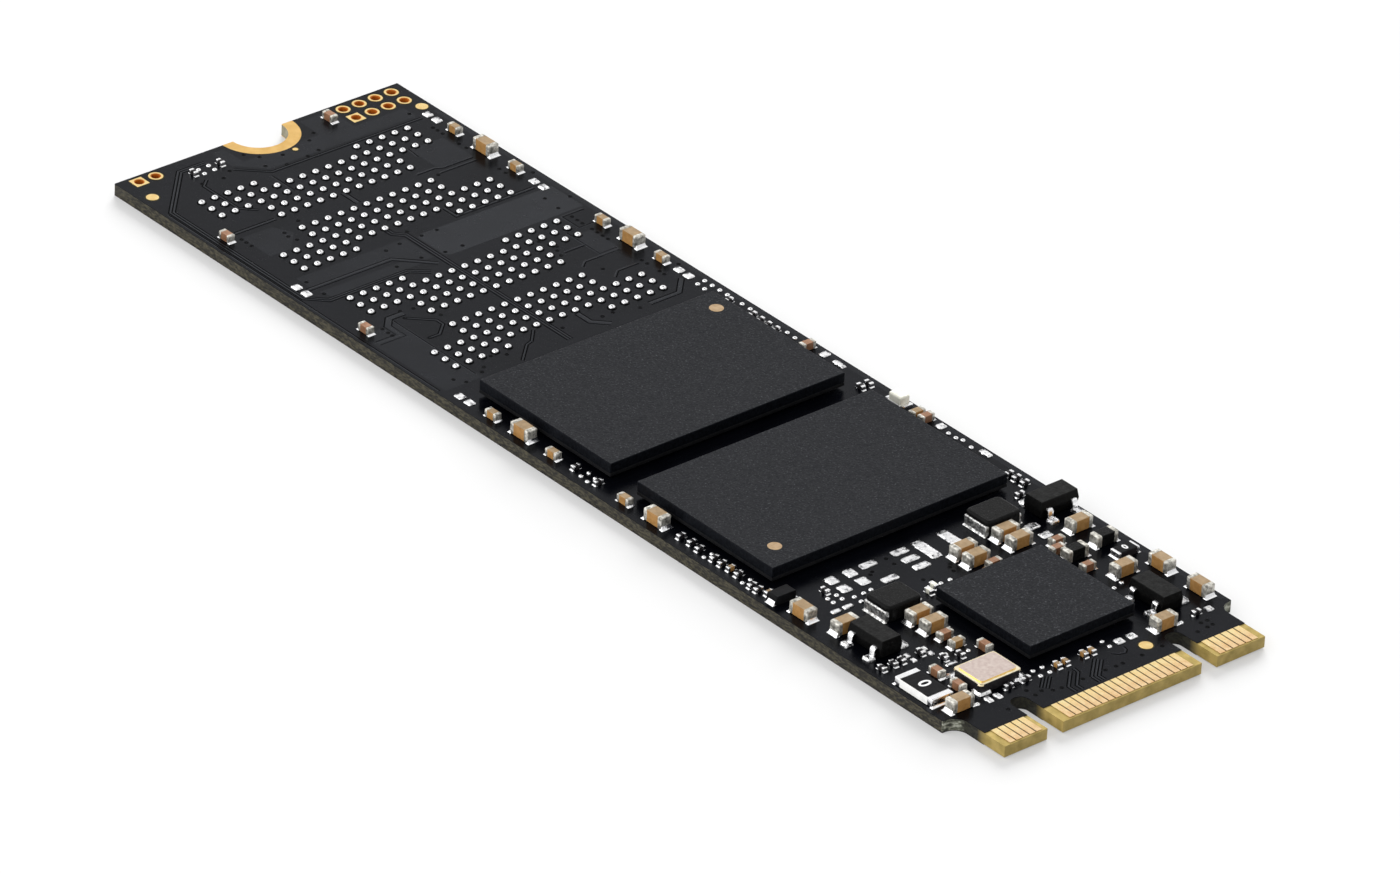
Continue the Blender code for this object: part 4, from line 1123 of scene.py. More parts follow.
# %% Beads
bead = chip("bead", (1.6, 0.8, 0.78), ferrite, cap=0.36)
names = ("ferrite_bead_1", "ferrite_bead_2")
for name in names:
    stand_in(name + "_chip", bead, name, "ferrite")
put_away(bead)
print("beads in place:", len(names))

# %% [markdown]
# ## The black resistor
#
# One resistor is glazed black all over, with its ends sloped and a foot of solder at each. It is a block
# whose top and bottom edges at the two ends get a wide bevel, and the edges that are still sharp a fine one.

# %% Black resistor
GLAZED_SIZE = (1.5, 0.82, 0.58)
END_SLOPE, FINE_EDGE = 0.1, 0.025
SHARP = 0.5


def crosses(edge):
    """True for a level edge that runs across the chip."""
    start, end = edge.verts
    return not upright(edge) and abs(start.co.x - end.co.x) < SAME_PLACE


glazed = block("glazed", GLAZED_SIZE, (0, 0, 0))
round_edges(glazed, crosses, END_SLOPE)
round_edges(glazed, lambda edge: edge.calc_face_angle(0) > SHARP, FINE_EDGE)
dress(glazed, black_glaze)
foot = fillet("foot", width=0.7, height=0.3, reach=0.24, end=0.72)
black_block = join("black_block", [glazed, foot, copy_at(foot, 0, 0, 180)])
stand_in("chip_resistor_block", black_block, "chip_resistor", "resistor")
put_away(black_block)
print("black resistor of", GLAZED_SIZE, "mm")


# %% [markdown]
# ## Links
#
# Two chips are plain links: flat, with a black glaze on top that is marked with a zero. The small one has a
# black body and the large one a white body. The zero is a text object, thickened a little and turned into a
# mesh before it is put in place. Modelling a ring for it would take longer and look less like print.

# %% Links with a zero
PRINT_RISE, PRINT_WEIGHT, PRINT_LIFT = 0.003, 0.02, 0.017
GLAZE_THICKNESS, GLAZE_LAP, GLAZE_SHARE = 0.03, 0.04, 0.96


def zero(height):
    """A raised zero lying at the origin."""
    bpy.ops.object.select_all(action="DESELECT")
    bpy.ops.object.text_add()
    words = bpy.context.active_object
    words.data.body = "0"
    words.data.align_x = "CENTER"
    words.data.align_y = "CENTER"
    words.data.size = height * MM
    words.data.extrude = PRINT_RISE * MM
    words.data.offset = PRINT_WEIGHT * MM
    bpy.ops.object.convert(target="MESH")
    return dress(bpy.context.active_object, white_print)


def link(name, size, body_finish, cap, zero_height):
    """A flat chip with a glazed top and a zero on it."""
    length, width, height = size
    base = chip("base", size, body_finish, cap, solder)
    glaze_size = (length - 2 * cap + GLAZE_LAP, width * GLAZE_SHARE, GLAZE_THICKNESS)
    glaze = block("glaze", glaze_size, (0, 0, height - GLAZE_THICKNESS / 2), rounding=0.012, steps=1)
    mark = zero(zero_height)
    parts = [base, dress(glaze, black_glaze), copy_at(mark, 0, 0, z=height + PRINT_LIFT)]
    put_away(mark)
    return join(name, parts)


for name, size, body_finish, cap, zero_height in (
    ("small_jumper", (1.6, 0.8, 0.45), black_ceramic, 0.2, 0.62),
    ("large_jumper", (3.2, 1.6, 0.55), white_clay, 0.45, 1.15),
):
    master = link("master", size, body_finish, cap, zero_height)
    stand_in(name + "_chip", master, name, "resistor")
    put_away(master)
    print(name, "is", size[0], "by", size[1], "mm")

# %% [markdown]
# ## Small capacitors
#
# The next size down is a millimetre long. There are too many for solids of their own, so they stand on the
# board's top at places measured along and across it. Each is tan or brown, and lies along or across.

# %% Capacitors a millimetre long
ALONG, ACROSS = 0, 90
small_places = [
    (tan_clay, ALONG, (-33.0, 9.93), (-27.1, 9.93), (-18.85, 9.95), (-13.25, 9.93), (-4.7, -10.2)),
    (tan_clay, ALONG, (0.85, -10.2), (7.3, -10.15)),
    (brown_clay, ALONG, (-38.7, 4.65), (-30.55, -9.75), (-16.95, -9.9), (31.65, -4.0), (32.15, -8.05)),
    (brown_clay, ALONG, (33.95, -8.05)),
    (brown_clay, ACROSS, (29.4, -5.05), (28.65, 6.55), (25.2, 2.4), (-0.05, 10.1), (10.5, 10.2)),
    (brown_clay, ACROSS, (25.5, 7.0), (26.2, 6.4)),
    (tan_clay, ACROSS, (30.45, -5.1), (9.8, 10.1)),
]
small_count = 0
for clay, turn, *spots in small_places:
    master = chip("master", (1.0, 0.5, 0.5), clay, cap=0.25)
    for x, y in spots:
        small_count += 1
        piece = join(f"small_capacitor_{small_count:02d}", [copy_at(master, x, y, turn, BOARD_TOP)])
        settle(piece, "tan_ceramic")
    put_away(master)
print("small capacitors:", small_count)

# %% [markdown]
# ## Smallest chips and dots of solder
#
# Along the edges and round the controller lie the smallest chips, 0.6 mm long, and many places where none was
# fitted. An empty place shows as two dots of solder, which are turned like the bumps but lower. The chips
# come from the same helper as the large ones, since in a close view their solder still shows.

# %% Masters for chips and dots
tiny_size = (0.6, 0.3, 0.3)
dark_chip = chip("dark_chip", tiny_size, black_ceramic, cap=0.2, cap_finish=solder)
tan_chip = chip("tan_chip", tiny_size, tan_clay, cap=0.17, cap_finish=solder)
cream_chip = chip("cream_chip", tiny_size, cream_resin, cap=0.17, cap_finish=solder)
dot_profile = [(0.165, 0.0), (0.17, 0.03), (0.14, 0.085), (0.08, 0.118), (0.03, 0.126)]
dot = dress(turned("dot", 10, dot_profile), dome_solder)
print("smallest chips are", tiny_size, "mm")

# %% [markdown]
# ## Bare pads
#
# Where something larger could go, flat pads are left with solder on them. A pad is a unit cushion: a block
# with round corners whose top is inset and raised, as solder settles, and whose points are then scattered a
# little. Three of those, each scattered from another seed, are stretched to every size in turn.

# %% Cushions of solder
SEEDS = (1, 2, 3)
SCATTER = 0.03
CUSHION_CORNER, LONG_EDGE = 0.16, 0.3
cushions = []
for seed in SEEDS:
    cushion = block("cushion", (1, 1, 0.03), (0, 0, 0))
    round_edges(cushion, upright, CUSHION_CORNER, steps=3)
    pick(cushion, "EDGE", lambda edge: edge.calc_length() > LONG_EDGE * MM)
    bpy.ops.mesh.subdivide(number_cuts=2)
    put_down()
    for inset, rise in ((0.06, 0.025), (0.14, 0.012)):
        step_in(cushion, looks_up, inset, rise)
    pick(cushion, "VERT", anything)
    bpy.ops.transform.vertex_random(offset=SCATTER * MM, uniform=0.0, normal=0.0, seed=seed)
    put_down()
    cushions.append(dress(cushion, pad_solder))
print("cushions of", len(cushions[0].data.polygons), "faces")


# %% [markdown]
# ## Groups of small things
#
# There are too many of these for a piece each. The ones that lie together become one piece, from three lists
# of places. Chips of one kind that lie the same way are listed together. Every second round of cushions is
# turned about, so that no two neighbours look alike.

# %% A group of chips, dots and pads
def laid(master, turn, *places):
    """Chips of one kind, all turned alike."""
    return [(x, y, turn, master) for x, y in places]


def small_things(name, chips=(), dots=(), pads=()):
    """One piece made of chips (x, y, turn, master), dots (x, y) and pads (x, y, length, width)."""
    made = [copy_at(master, x, y, turn, BOARD_TOP) for x, y, turn, master in chips]
    made += [copy_at(dot, x, y, z=BOARD_TOP) for x, y in dots]
    for number, (x, y, long, wide) in enumerate(pads):
        round_number, kind = divmod(number, len(cushions))
        turn = 180 * (round_number % 2)
        made.append(copy_at(cushions[kind], x, y, turn, BOARD_TOP, (long, wide, 1)))
    settle(join(name, made), "solder", angle=50)
    print(name, "has", len(chips), "chips,", len(dots), "dots and", len(pads), "pads")


# %% [markdown]
# ## Small things at the mounting end
#
# A cluster of four stands beside the screw notch: two chips, and two empty places between them. Five pairs of
# bare pads lie along the two long edges.

# %% Mounting end and the pairs along the edges
PAIR_PAD = (0.62, 0.55)
small_things(
    "mount_end_small_parts",
    chips=laid(dark_chip, ALONG, (-38.15, -4.3), (-38.1, -6.4)),
    dots=[(-38.4, -5.03), (-37.8, -5.03), (-38.35, -5.85), (-37.75, -5.85)],
)
pair_pads = []
for left, right, y in (
    (-35.7, -34.8, 9.97),
    (-25.3, -24.4, 9.9),
    (-11.75, -10.85, 10.03),
    (-23.5, -22.55, -9.95),
    (-7.75, -6.85, -10.2),
):
    pair_pads += [(left, y, *PAIR_PAD), (right, y, *PAIR_PAD)]
small_things("edge_pad_pairs", pads=pair_pads)

# %% [markdown]
# ## Small things along the far edge
#
# Behind the memory packages the strip is crowded with the smallest chips and with empty places.

# %% Far edge
small_things(
    "far_edge_small_parts",
    chips=[
        *laid(dark_chip, ACROSS, (-7.0, 9.9), (-4.85, 9.92), (-4.1, 9.88), (-3.4, 9.86), (-2.7, 9.88)),
        *laid(dark_chip, ALONG, (5.4, 10.22), (5.4, 9.58)),
        *laid(dark_chip, ACROSS, (18.1, 9.95), (18.7, 10.0), (19.4, 10.0), (20.2, 8.9)),
    ],
    dots=[
        (-9.8, 10.4), (-9.1, 10.4), (-9.75, 9.8), (-9.05, 9.75), (-8.4, 10.4), (-7.7, 10.4), (-6.35, 10.4),
        (-5.6, 10.4), (-2.15, 10.35), (-1.4, 10.3), (12.4, 10.3), (13.05, 10.3), (13.5, 10.45), (14.4, 10.3),
    ],
    pads=[
        (1.1, 10.5, 0.55, 0.65), (2.5, 10.4, 1.0, 0.4), (11.5, 10.5, 0.55, 0.6), (15.4, 10.55, 0.9, 0.45),
    ],
)

# %% [markdown]
# ## Small things along the near edge
#
# In front of the second package they stand in a row like a zip, all lying across the board.

# %% Near edge
small_things(
    "near_edge_small_parts",
    chips=[
        *laid(dark_chip, ACROSS, (2.65, -10.0), (4.75, -10.05), (12.2, -10.05), (13.1, -10.0)),
        *laid(dark_chip, ACROSS, (13.9, -10.1), (15.2, -10.1), (15.9, -10.1)),
        *laid(tan_chip, ACROSS, (16.6, -10.05)),
        *laid(dark_chip, ACROSS, (17.35, -10.1), (18.75, -10.3), (19.3, -10.3)),
        *laid(tan_chip, ACROSS, (19.95, -10.05)),
    ],
    dots=[
        (3.5, -9.7), (3.5, -10.3), (4.2, -9.8), (4.2, -10.4), (14.65, -9.8), (14.65, -10.4), (18.1, -9.85),
        (18.1, -10.45),
    ],
)

# %% [markdown]
# ## Empty places behind the controller
#
# Between the packages and the controller the board has pads for parts that this version does without. They
# are flooded with solder and shine.

# %% Behind the controller
small_things(
    "power_area_small_parts",
    chips=laid(dark_chip, ALONG, (21.65, -7.3)) + laid(cream_chip, ALONG, (24.9, -1.9), (25.2, -2.5)),
    dots=[
        (23.0, -5.0), (23.05, -5.6), (23.05, -6.3), (23.65, -6.3), (22.3, -7.0), (22.8, -7.0), (22.3, -7.67),
        (22.8, -7.67), (24.85, -0.6), (24.85, -1.3),
    ],
    pads=[
        (21.5, 2.5, 2.1, 0.8), (21.5, 0.55, 2.1, 0.8), (20.8, -0.9, 0.55, 1.15),
        (21.75, -0.9, 0.55, 1.15), (22.7, -0.9, 0.55, 1.15), (20.8, -3.3, 0.55, 1.15),
        (22.7, -3.3, 0.55, 1.15), (20.9, -4.75, 0.78, 0.75), (22.0, -4.75, 0.78, 0.75),
        (20.9, -6.15, 0.78, 0.75), (22.0, -6.15, 0.78, 0.75), (23.6, -7.25, 0.35, 0.7),
        (23.6, -8.15, 0.35, 0.7), (23.2, 7.2, 0.6, 0.95), (24.35, 7.2, 0.6, 0.8),
    ],
)

# %% [markdown]
# ## Small things in front of the controller
#
# Pairs of tan chips stand between the controller and the fingers, and more lie beside the clock and the
# larger link.

# %% In front of the controller
small_things(
    "connector_area_small_parts",
    chips=[
        *laid(tan_chip, ALONG, (35.5, 0.65), (35.5, 0.05), (35.5, -1.35), (35.5, -1.95)),
        *laid(dark_chip, ACROSS, (35.55, -4.4), (35.55, -5.7), (35.95, 8.3)),
        *laid(dark_chip, ALONG, (29.9, -7.3), (29.9, -8.75), (29.9, -9.35), (29.9, -10.2)),
        *laid(dark_chip, ALONG, (31.4, -5.6), (31.1, -6.6)),
    ],
    dots=[
        (35.0, 1.9), (35.65, 1.9), (35.05, -2.7), (35.7, -2.7), (35.05, -3.4), (35.7, -3.4), (35.85, -8.3),
        (36.15, 6.95), (30.9, 7.15), (31.1, 6.4), (31.25, -4.9), (30.8, -6.2),
    ],
    pads=[
        (35.55, 3.7, 0.55, 0.6), (35.55, 2.75, 0.55, 0.6), (35.85, -6.75, 0.6, 0.4), (35.85, -7.45, 0.6, 0.4),
        (35.95, 9.3, 0.5, 0.5), (29.6, -6.8, 0.4, 0.35), (30.2, -6.8, 0.4, 0.35), (29.6, -8.1, 0.4, 0.35),
        (30.2, -8.1, 0.4, 0.35), (31.75, -6.6, 0.25, 0.8),
    ],
)
put_away(dot, dark_chip, tan_chip, cream_chip)

# %% [markdown]
# ## The clock's tub
#
# The clock is a ceramic tub with a metal lid. The tub's four corners are notched for solder, which a bevel
# with a hollow profile does in one step. A pad lies under each corner. The tub stands up a little round the
# lid, as a lip.

# %% Clock tub
LIP = 0.1
TUB_NOTCH, TUB_EDGE = 0.3, 0.025
HOLLOW = 0.2
CORNER_SHARE = 0.42
low, high = (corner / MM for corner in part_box("oscillator_base"))
tub_size = high - low
tub_x, tub_y = (low.x + high.x) / 2, (low.y + high.y) / 2
tub = block("tub", (tub_size.x, tub_size.y, tub_size.z + LIP), (tub_x, tub_y, low.z))
round_edges(tub, upright, TUB_NOTCH, steps=5, profile=HOLLOW)
round_edges(tub, lies_flat, TUB_EDGE, steps=1)
dress(tub, black_ceramic)
corner_pads = []
for way_x in (-1, 1):
    for way_y in (-1, 1):
        x = tub_x + way_x * tub_size.x * CORNER_SHARE
        y = tub_y + way_y * tub_size.y * CORNER_SHARE
        corner_pads.append(copy_at(cushions[0], x, y, z=BOARD_TOP, stretch=(0.85, 0.95, 2.2)))
settle(join("clock_tub", [tub, *corner_pads]), "black_ceramic", "oscillator_base")
print("clock tub", [round(v, 2) for v in tub_size])

# %% [markdown]
# ## The clock's ring
#
# A gold ring is fused to the tub, for the lid to be welded to. Only its rim shows, so it is a plate with
# round corners. Its underside spreads a little, and its top is inset and raised, so the rim slopes outwards.
# Its gold is painted paler and creamier than the plating, as a painted highlight along the rim.

# %% Clock ring
PLATE_CORNER = 0.22
RING_SPREAD = (1.015, 1.02, 1)
low, high = (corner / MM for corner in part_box("oscillator_seal_ring"))
ring = block("clock_ring", high - low, (tub_x, tub_y, low.z))
round_edges(ring, upright, PLATE_CORNER, steps=4)
step_in(ring, looks_up, inset=0.05, rise=0.02)
pick(ring, "FACE", looks_down)
bpy.ops.transform.resize(value=RING_SPREAD)
put_down()
settle(dress(ring, ring_gold_glint), "gold", "oscillator_seal_ring")
print("clock ring", [round(v, 2) for v in high - low])

# %% [markdown]
# ## The clock's lid
#
# The lid is smaller than the ring, so that the ring shows round it as a pale gold line. Pressing left a flat
# rim and a shallow dish, which three insets make: the first stays level, the second goes down and the third
# comes up a little. The lid's sides are gold from the weld.

# %% Clock lid
LID_INSET = 0.06
low, high = (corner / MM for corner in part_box("oscillator_lid"))
lid_size = high - low - Vector((2 * LID_INSET, 2 * LID_INSET, 0))
lid = block("clock_lid", lid_size, (tub_x, tub_y, low.z))
round_edges(lid, upright, PLATE_CORNER, steps=4)
for inset, rise in ((0.03, 0.0), (0.10, -0.012), (0.08, 0.006)):
    step_in(lid, lambda face: looks_up(face) and face.calc_area() > MM * MM, inset, rise)
settle(dress_sides(dress(lid, lid_metal), pale_gold), "lid", "oscillator_lid")
print("clock lid", [round(v, 2) for v in lid_size])

# %% [markdown]
# ## Inductors
#
# Each inductor is a pressed block of ferrite with round corners and shoulders, which hangs over its ends a
# little. Its coil ends in two tall terminals, rough with solder. The coil inside stays as the CAD made it,
# since only its ends show.

# %% Inductors
TERMINAL_DEPTH = 0.4
TERMINAL_DROP = 0.3
TERMINAL_SHARE = 0.98
OVERHANG = 0.13
CORNER, SHOULDER = 0.36, 0.16
for number in (1, 2):
    name = f"inductor_{number}"
    low, high = (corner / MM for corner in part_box(name + "_core"))
    size = high - low
    x, y = (low.x + high.x) / 2, (low.y + high.y) / 2
    core = block("core", (size.x + OVERHANG, size.y + 2 * OVERHANG, size.z), (x, y, low.z))
    round_edges(core, upright, CORNER, steps=5)
    near_top = (high.z - 0.01) * MM
    round_edges(core, lambda edge: min(point.co.z for point in edge.verts) > near_top, SHOULDER, steps=4)
    settle(dress(core, ferrite), "ferrite", name + "_core")
    dress(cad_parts[name + "_coil"], tin)
    width = size.x * TERMINAL_SHARE
    end_size = (width, TERMINAL_DEPTH, high.z - SEAT - TERMINAL_DROP)
    ends = []
    for way in (-1, 1):
        end = block("end", end_size, (x, y + way * size.y / 2, SEAT), rounding=0.1, steps=3)
        ends.append(dress(end, rough_solder))
    joint = fillet("joint", width, height=0.26, reach=0.1, end=size.y / 2 + TERMINAL_DEPTH / 2)
    dress(joint, rough_solder)
    ends += [copy_at(joint, x, y, turn, SEAT) for turn in (90, -90)]
    put_away(joint)
    settle(join(name + "_solder", ends), "solder")
    print(name, "is", [round(v, 2) for v in size], "with terminals", [round(v, 2) for v in end_size])


# %% [markdown]
# ## Bent legs
#
# A regulator stands on legs that come out of its sides and bend down to the board. A leg is a strip. An edge
# is extruded along the bend, the strip gets its thickness from a modifier, and another breaks its corners. A
# box bent by hand would need more cuts for the same curve.

# %% A leg
LEG_WIDTH, LEG_THICKNESS = 0.4, 0.12
LEG_ROOT, LEG_EDGE = 0.1, 0.02


def leg(name, reach, level):
    """A bent leg from x = 0 at this level, out along X and down to z = 0."""
    bpy.ops.object.select_all(action="DESELECT")
    bpy.ops.mesh.primitive_plane_add(size=1, location=(-LEG_ROOT / 2 * MM, 0, level * MM))
    piece = just_added(name, (LEG_ROOT * MM, LEG_WIDTH * MM, 1))
    bend = [(0.10, 0), (0.08, -0.04), (0.05, -0.10), (0.03, 0.22 - level), (0.07, -0.07)]
    bend.append((reach - sum(step[0] for step in bend), -0.01))
    for out, rise in bend:
        tip = max(point.co.x for point in piece.data.vertices)
        pick(piece, "EDGE", lambda edge: min(point.co.x for point in edge.verts) > tip - SAME_PLACE)
        bpy.ops.mesh.extrude_region_move(TRANSFORM_OT_translate={"value": (out * MM, 0, rise * MM)})
        put_down()
    only(piece)
    thick = piece.modifiers.new("thickness", "SOLIDIFY")
    thick.thickness = LEG_THICKNESS * MM
    thick.offset = 0
    bpy.ops.object.modifier_apply(modifier=thick.name)
    broken = piece.modifiers.new("broken edges", "BEVEL")
    broken.width = LEG_EDGE * MM
    broken.segments = 2
    broken.limit_method = "ANGLE"
    bpy.ops.object.modifier_apply(modifier=broken.name)
    return dress(piece, solder)


# %% [markdown]
# ## Bodies of the regulators
#
# A regulator's body is a small moulding, widest at the line where the two halves of its mould met. It is a
# block cut at that line, with its top and bottom then drawn in, so that the mould would come off. Its sides
# get the darker finish, which is painted shade.

# %% A body
TOP_DRAW, BOTTOM_DRAW = 0.12, 0.09
BODY_EDGE = 0.03


def moulded(name, long, wide, high):
    """A body along X with its widest line at half its height."""
    body = block(name, (long, wide, high), (0, 0, 0))
    pick(body, "FACE", anything)
    bpy.ops.mesh.bisect(plane_co=(0, 0, 0.5 * high * MM), plane_no=(0, 0, 1))
    put_down()
    for test, draw in ((looks_up, TOP_DRAW), (looks_down, BOTTOM_DRAW)):
        pick(body, "FACE", test)
        bpy.ops.transform.resize(value=((long - draw) / long, (wide - 2 * draw) / wide, 1))
        put_down()
    round_edges(body, anything, BODY_EDGE)
    return dress_sides(dress(body, small_compound), small_shaded_side)


print("bodies drawn in by", TOP_DRAW, "mm above and", BOTTOM_DRAW, "mm below")

# %% [markdown]
# ## The regulators
#
# Each body takes its place and size from its solid. It has two legs on one side and three on the other, which
# tells the machine which way round it goes. Every foot stands on a cushion of solder. The legs' reach follows
# from the width of the solid.

# %% Regulators
LEG_STEP = 0.95
LEG_LEVEL = 0.6
LEG_SUNK = 0.04
FOOT_BACK = 0.12
for number, turn in ((1, 90), (2, 0), (3, 0)):
    name = f"regulator_{number}"
    low, high = (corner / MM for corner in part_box(name + "_body"))
    size = high - low
    x, y = (low.x + high.x) / 2, (low.y + high.y) / 2
    long, wide = (size.y, size.x) if turn else (size.x, size.y)
    body = moulded("body", long, wide, size.z)
    settle(join(name + "_moulding", [copy_at(body, x, y, turn, low.z)]), "mould", name + "_body")
    put_away(body)
    low, high = (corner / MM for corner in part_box(name + "_lead_frame"))
    reach = ((high.x - low.x if turn else high.y - low.y) - wide) / 2
    one_leg = leg("one_leg", reach, LEG_LEVEL)
    foot_stretch = (0.6, 0.62, 2) if turn else (0.62, 0.6, 2)
    made = []
    for facing, places in ((-90, (-1, 1)), (90, (-1, 0, 1))):
        out = wide / 2 - LEG_SUNK if facing == 90 else LEG_SUNK - wide / 2
        leg_turn = Matrix.Rotation(math.radians(turn + facing), 3, "Z")
        for place in places:
            root = Matrix.Rotation(math.radians(turn), 3, "Z") @ Vector((place * LEG_STEP, out, 0))
            made.append(copy_at(one_leg, x + root.x, y + root.y, turn + facing, SEAT + LEG_THICKNESS / 2))
            foot = root + leg_turn @ Vector((reach - FOOT_BACK, 0, 0))
            made.append(copy_at(cushions[1], x + foot.x, y + foot.y, z=BOARD_TOP, stretch=foot_stretch))
    put_away(one_leg)
    settle(join(name + "_legs", made), "solder", name + "_lead_frame")
    print(name, "is", [round(v, 2) for v in size], "and its legs reach", round(reach, 2), "mm")
put_away(*cushions)

# %% [markdown]
# ## The indicator lamp
#
# The lamp is a white plate with metal ends and a block of cream resin on it. The resin's upper edges and its
# corners are well rounded, since it is cast in a soft mould. Its foot stays square on the plate.

# %% Lamp
LAMP_PLATE = (1.3, 0.78, 0.2)
LAMP_LENS = (1.1, 0.76, 0.5)
LAMP_END, END_OUT = (0.26, 0.8, 0.22), 0.67
LENS_EDGE = 0.12
near_top = (LAMP_PLATE[2] + LAMP_LENS[2] - 0.01) * MM
plate = dress(block("plate", LAMP_PLATE, (0, 0, 0), rounding=0.02, steps=1), white_clay)
lamp_lens = block("lamp_lens", LAMP_LENS, (0, 0, LAMP_PLATE[2]))
round_edges(lamp_lens, lambda edge: max(point.co.z for point in edge.verts) > near_top, LENS_EDGE, steps=4)
dress(lamp_lens, cream_resin)
ends = [dress(block("end", LAMP_END, (way * END_OUT, 0, 0), rounding=0.03), solder) for way in (-1, 1)]
lamp = join("lamp", [plate, lamp_lens, *ends])
stand_in("indicator_lamp", lamp, "indicator_light", "lens")
put_away(lamp)
print("lamp with a lens of", LAMP_LENS, "mm")

# %% [markdown]
# ## Plated holes
#
# Each plated hole is an eyelet: a tube through the board with a flat rim on both faces. A tube is turned as a
# closed loop. Inside it the gold sees only itself and goes a deep orange brown, so the tube is a piece of its
# own, flared under the rim, in a darker finish that is a painted reflection of the gold in itself. The
# lacquer stops short of the rim and leaves a dark moat of bare laminate. Two of the holes have square rims,
# which are plates with the hole cut by a Boolean.

# %% Tubes, rims and moats
# painted reflection: a deep orange brown, not metal, for the gold seeing only itself inside the bore
bore_painted_reflection = fired("orange_bore", (0.30, 0.07, 0.006), (0.46, 0.13, 0.012), 0.5, 0.08, 0.006)
moat_finish = fired("bare_moat", (0.010, 0.009, 0.003), (0.022, 0.019, 0.007), 0.5, 0.1, 0.01)
RIM_RADIUS, MOAT_RADIUS = 0.465, 0.555
BORE_RADIUS, TUBE_RADIUS, MOUTH_RADIUS = 0.265, 0.285, 0.33
RIM_RISE, RIM_DEPTH = 0.012, 0.035
FLARE_DEPTH, FUNNEL_DEPTH, MOAT_DEPTH, SUNK = 0.032, 0.03, 0.031, 0.012
SIDES, PAST = 32, 0.1


def closed_ring(name, inner, outer, low, high):
    profile = [(inner, low), (outer, low), (outer, high), (inner, high), (inner, low)]
    return turned(name, SIDES, profile, closed=True)


def square_rim(name, low, high):
    """A square plate with the hole cut through it."""
    plate_size = (2 * RIM_RADIUS, 2 * RIM_RADIUS, high - low)
    plate = block(name, plate_size, (0, 0, low), rounding=0.01, steps=1)
    drill = turned("drill", SIDES, [(MOUTH_RADIUS, low - PAST), (MOUTH_RADIUS, high + PAST)])
    pick(drill, "EDGE", lambda edge: edge.is_boundary)
    bpy.ops.mesh.edge_face_add()
    bpy.ops.mesh.select_all(action="SELECT")
    bpy.ops.mesh.normals_make_consistent(inside=False)
    put_down()
    only(plate)
    cut = plate.modifiers.new("hole", "BOOLEAN")
    cut.object = drill
    cut.solver = "EXACT"
    bpy.ops.object.modifier_apply(modifier=cut.name)
    put_away(drill)
    return plate


tube_profile = [(BORE_RADIUS, 0.0), (TUBE_RADIUS, 0.0), (TUBE_RADIUS, BOARD_TOP - FLARE_DEPTH)]
tube_profile += [(MOUTH_RADIUS, BOARD_TOP - FLARE_DEPTH), (MOUTH_RADIUS, BOARD_TOP - SUNK)]
tube_profile += [(BORE_RADIUS, BOARD_TOP - FUNNEL_DEPTH), (BORE_RADIUS, 0.0)]
tube = dress(turned("tube", SIDES, tube_profile, closed=True), bore_painted_reflection)
faces = ((0.0, RIM_DEPTH), (BOARD_TOP - RIM_DEPTH, BOARD_TOP + RIM_RISE))
round_rims = [dress(closed_ring("rim", MOUTH_RADIUS, RIM_RADIUS, *levels), pale_gold) for levels in faces]
square_rims = [dress(square_rim("rim", *levels), pale_gold) for levels in faces]
moat_levels = (BOARD_TOP - MOAT_DEPTH, BOARD_TOP - SUNK)
moat = dress(closed_ring("moat", MOUTH_RADIUS + 0.01, MOAT_RADIUS, *moat_levels), moat_finish)
print("rims out to", RIM_RADIUS, "mm, moats to", MOAT_RADIUS, "mm")

# %% [markdown]
# ## Placing the holes
#
# Eight holes stand in two columns at one corner of the mounting end, and two more at the other corner. The
# last one of each group has the square rim, which marks where counting starts.

# %% Plated holes
holes = []
for column, x in enumerate((-39.28, -38.0)):
    for row, y in enumerate((9.96, 8.69, 7.42, 6.15)):
        holes.append((x, y, column == 1 and row == 3))
holes += [(-39.3, -8.4, False), (-39.3, -9.66, True)]
made = []
for x, y, square in holes:
    made += [copy_at(tube, x, y), copy_at(moat, x, y)]
    made += [copy_at(rim, x, y) for rim in (square_rims if square else round_rims)]
put_away(tube, moat, *round_rims, *square_rims)
settle(join("plated_holes", made), "gold")
print("plated holes:", len(holes))

# %% [markdown]
# ## Gold discs
#
# Three round gold discs are there for the assembly machine's camera to aim by, and a small one sits by the
# screw notch. They are turned with a slightly domed top, and each stands in a moat like those of the holes.

# %% Gold discs
discs = ((-36.75, 10.35, 0.4), (-37.31, -10.18, 0.4), (36.75, 3.7, 0.42), (-37.0, 0.6, 0.18))
made = []
for x, y, radius in discs:
    profile = [(radius, -0.01), (radius, 0.012), (radius - 0.02, 0.018)]
    profile += [(radius - 0.04, 0.0185), (0.02, 0.019)]
    disc = dress(turned("disc", 24, profile), pale_gold)
    moat_profile = [(radius + 0.1, -0.01), (radius + 0.09, 0.004), (0.02, 0.005)]
    moat = dress(turned("moat", 24, moat_profile), moat_finish)
    made += [copy_at(disc, x, y, z=BOARD_TOP), copy_at(moat, x, y, z=BOARD_TOP)]
    put_away(disc, moat)
settle(join("gold_discs", made), "gold")
print("gold discs:", len(discs))

# %% [markdown]
# ## The floor
#
# The drive lies on pale paper. A pure white floor would throw so much light back that the sides of the black
# packages went grey, so the paper itself is a mid grey. What the camera, metal and glass see of it is lifted
# to white by a glow that no other ray meets, and the shadow stays. From below the paper is clear.

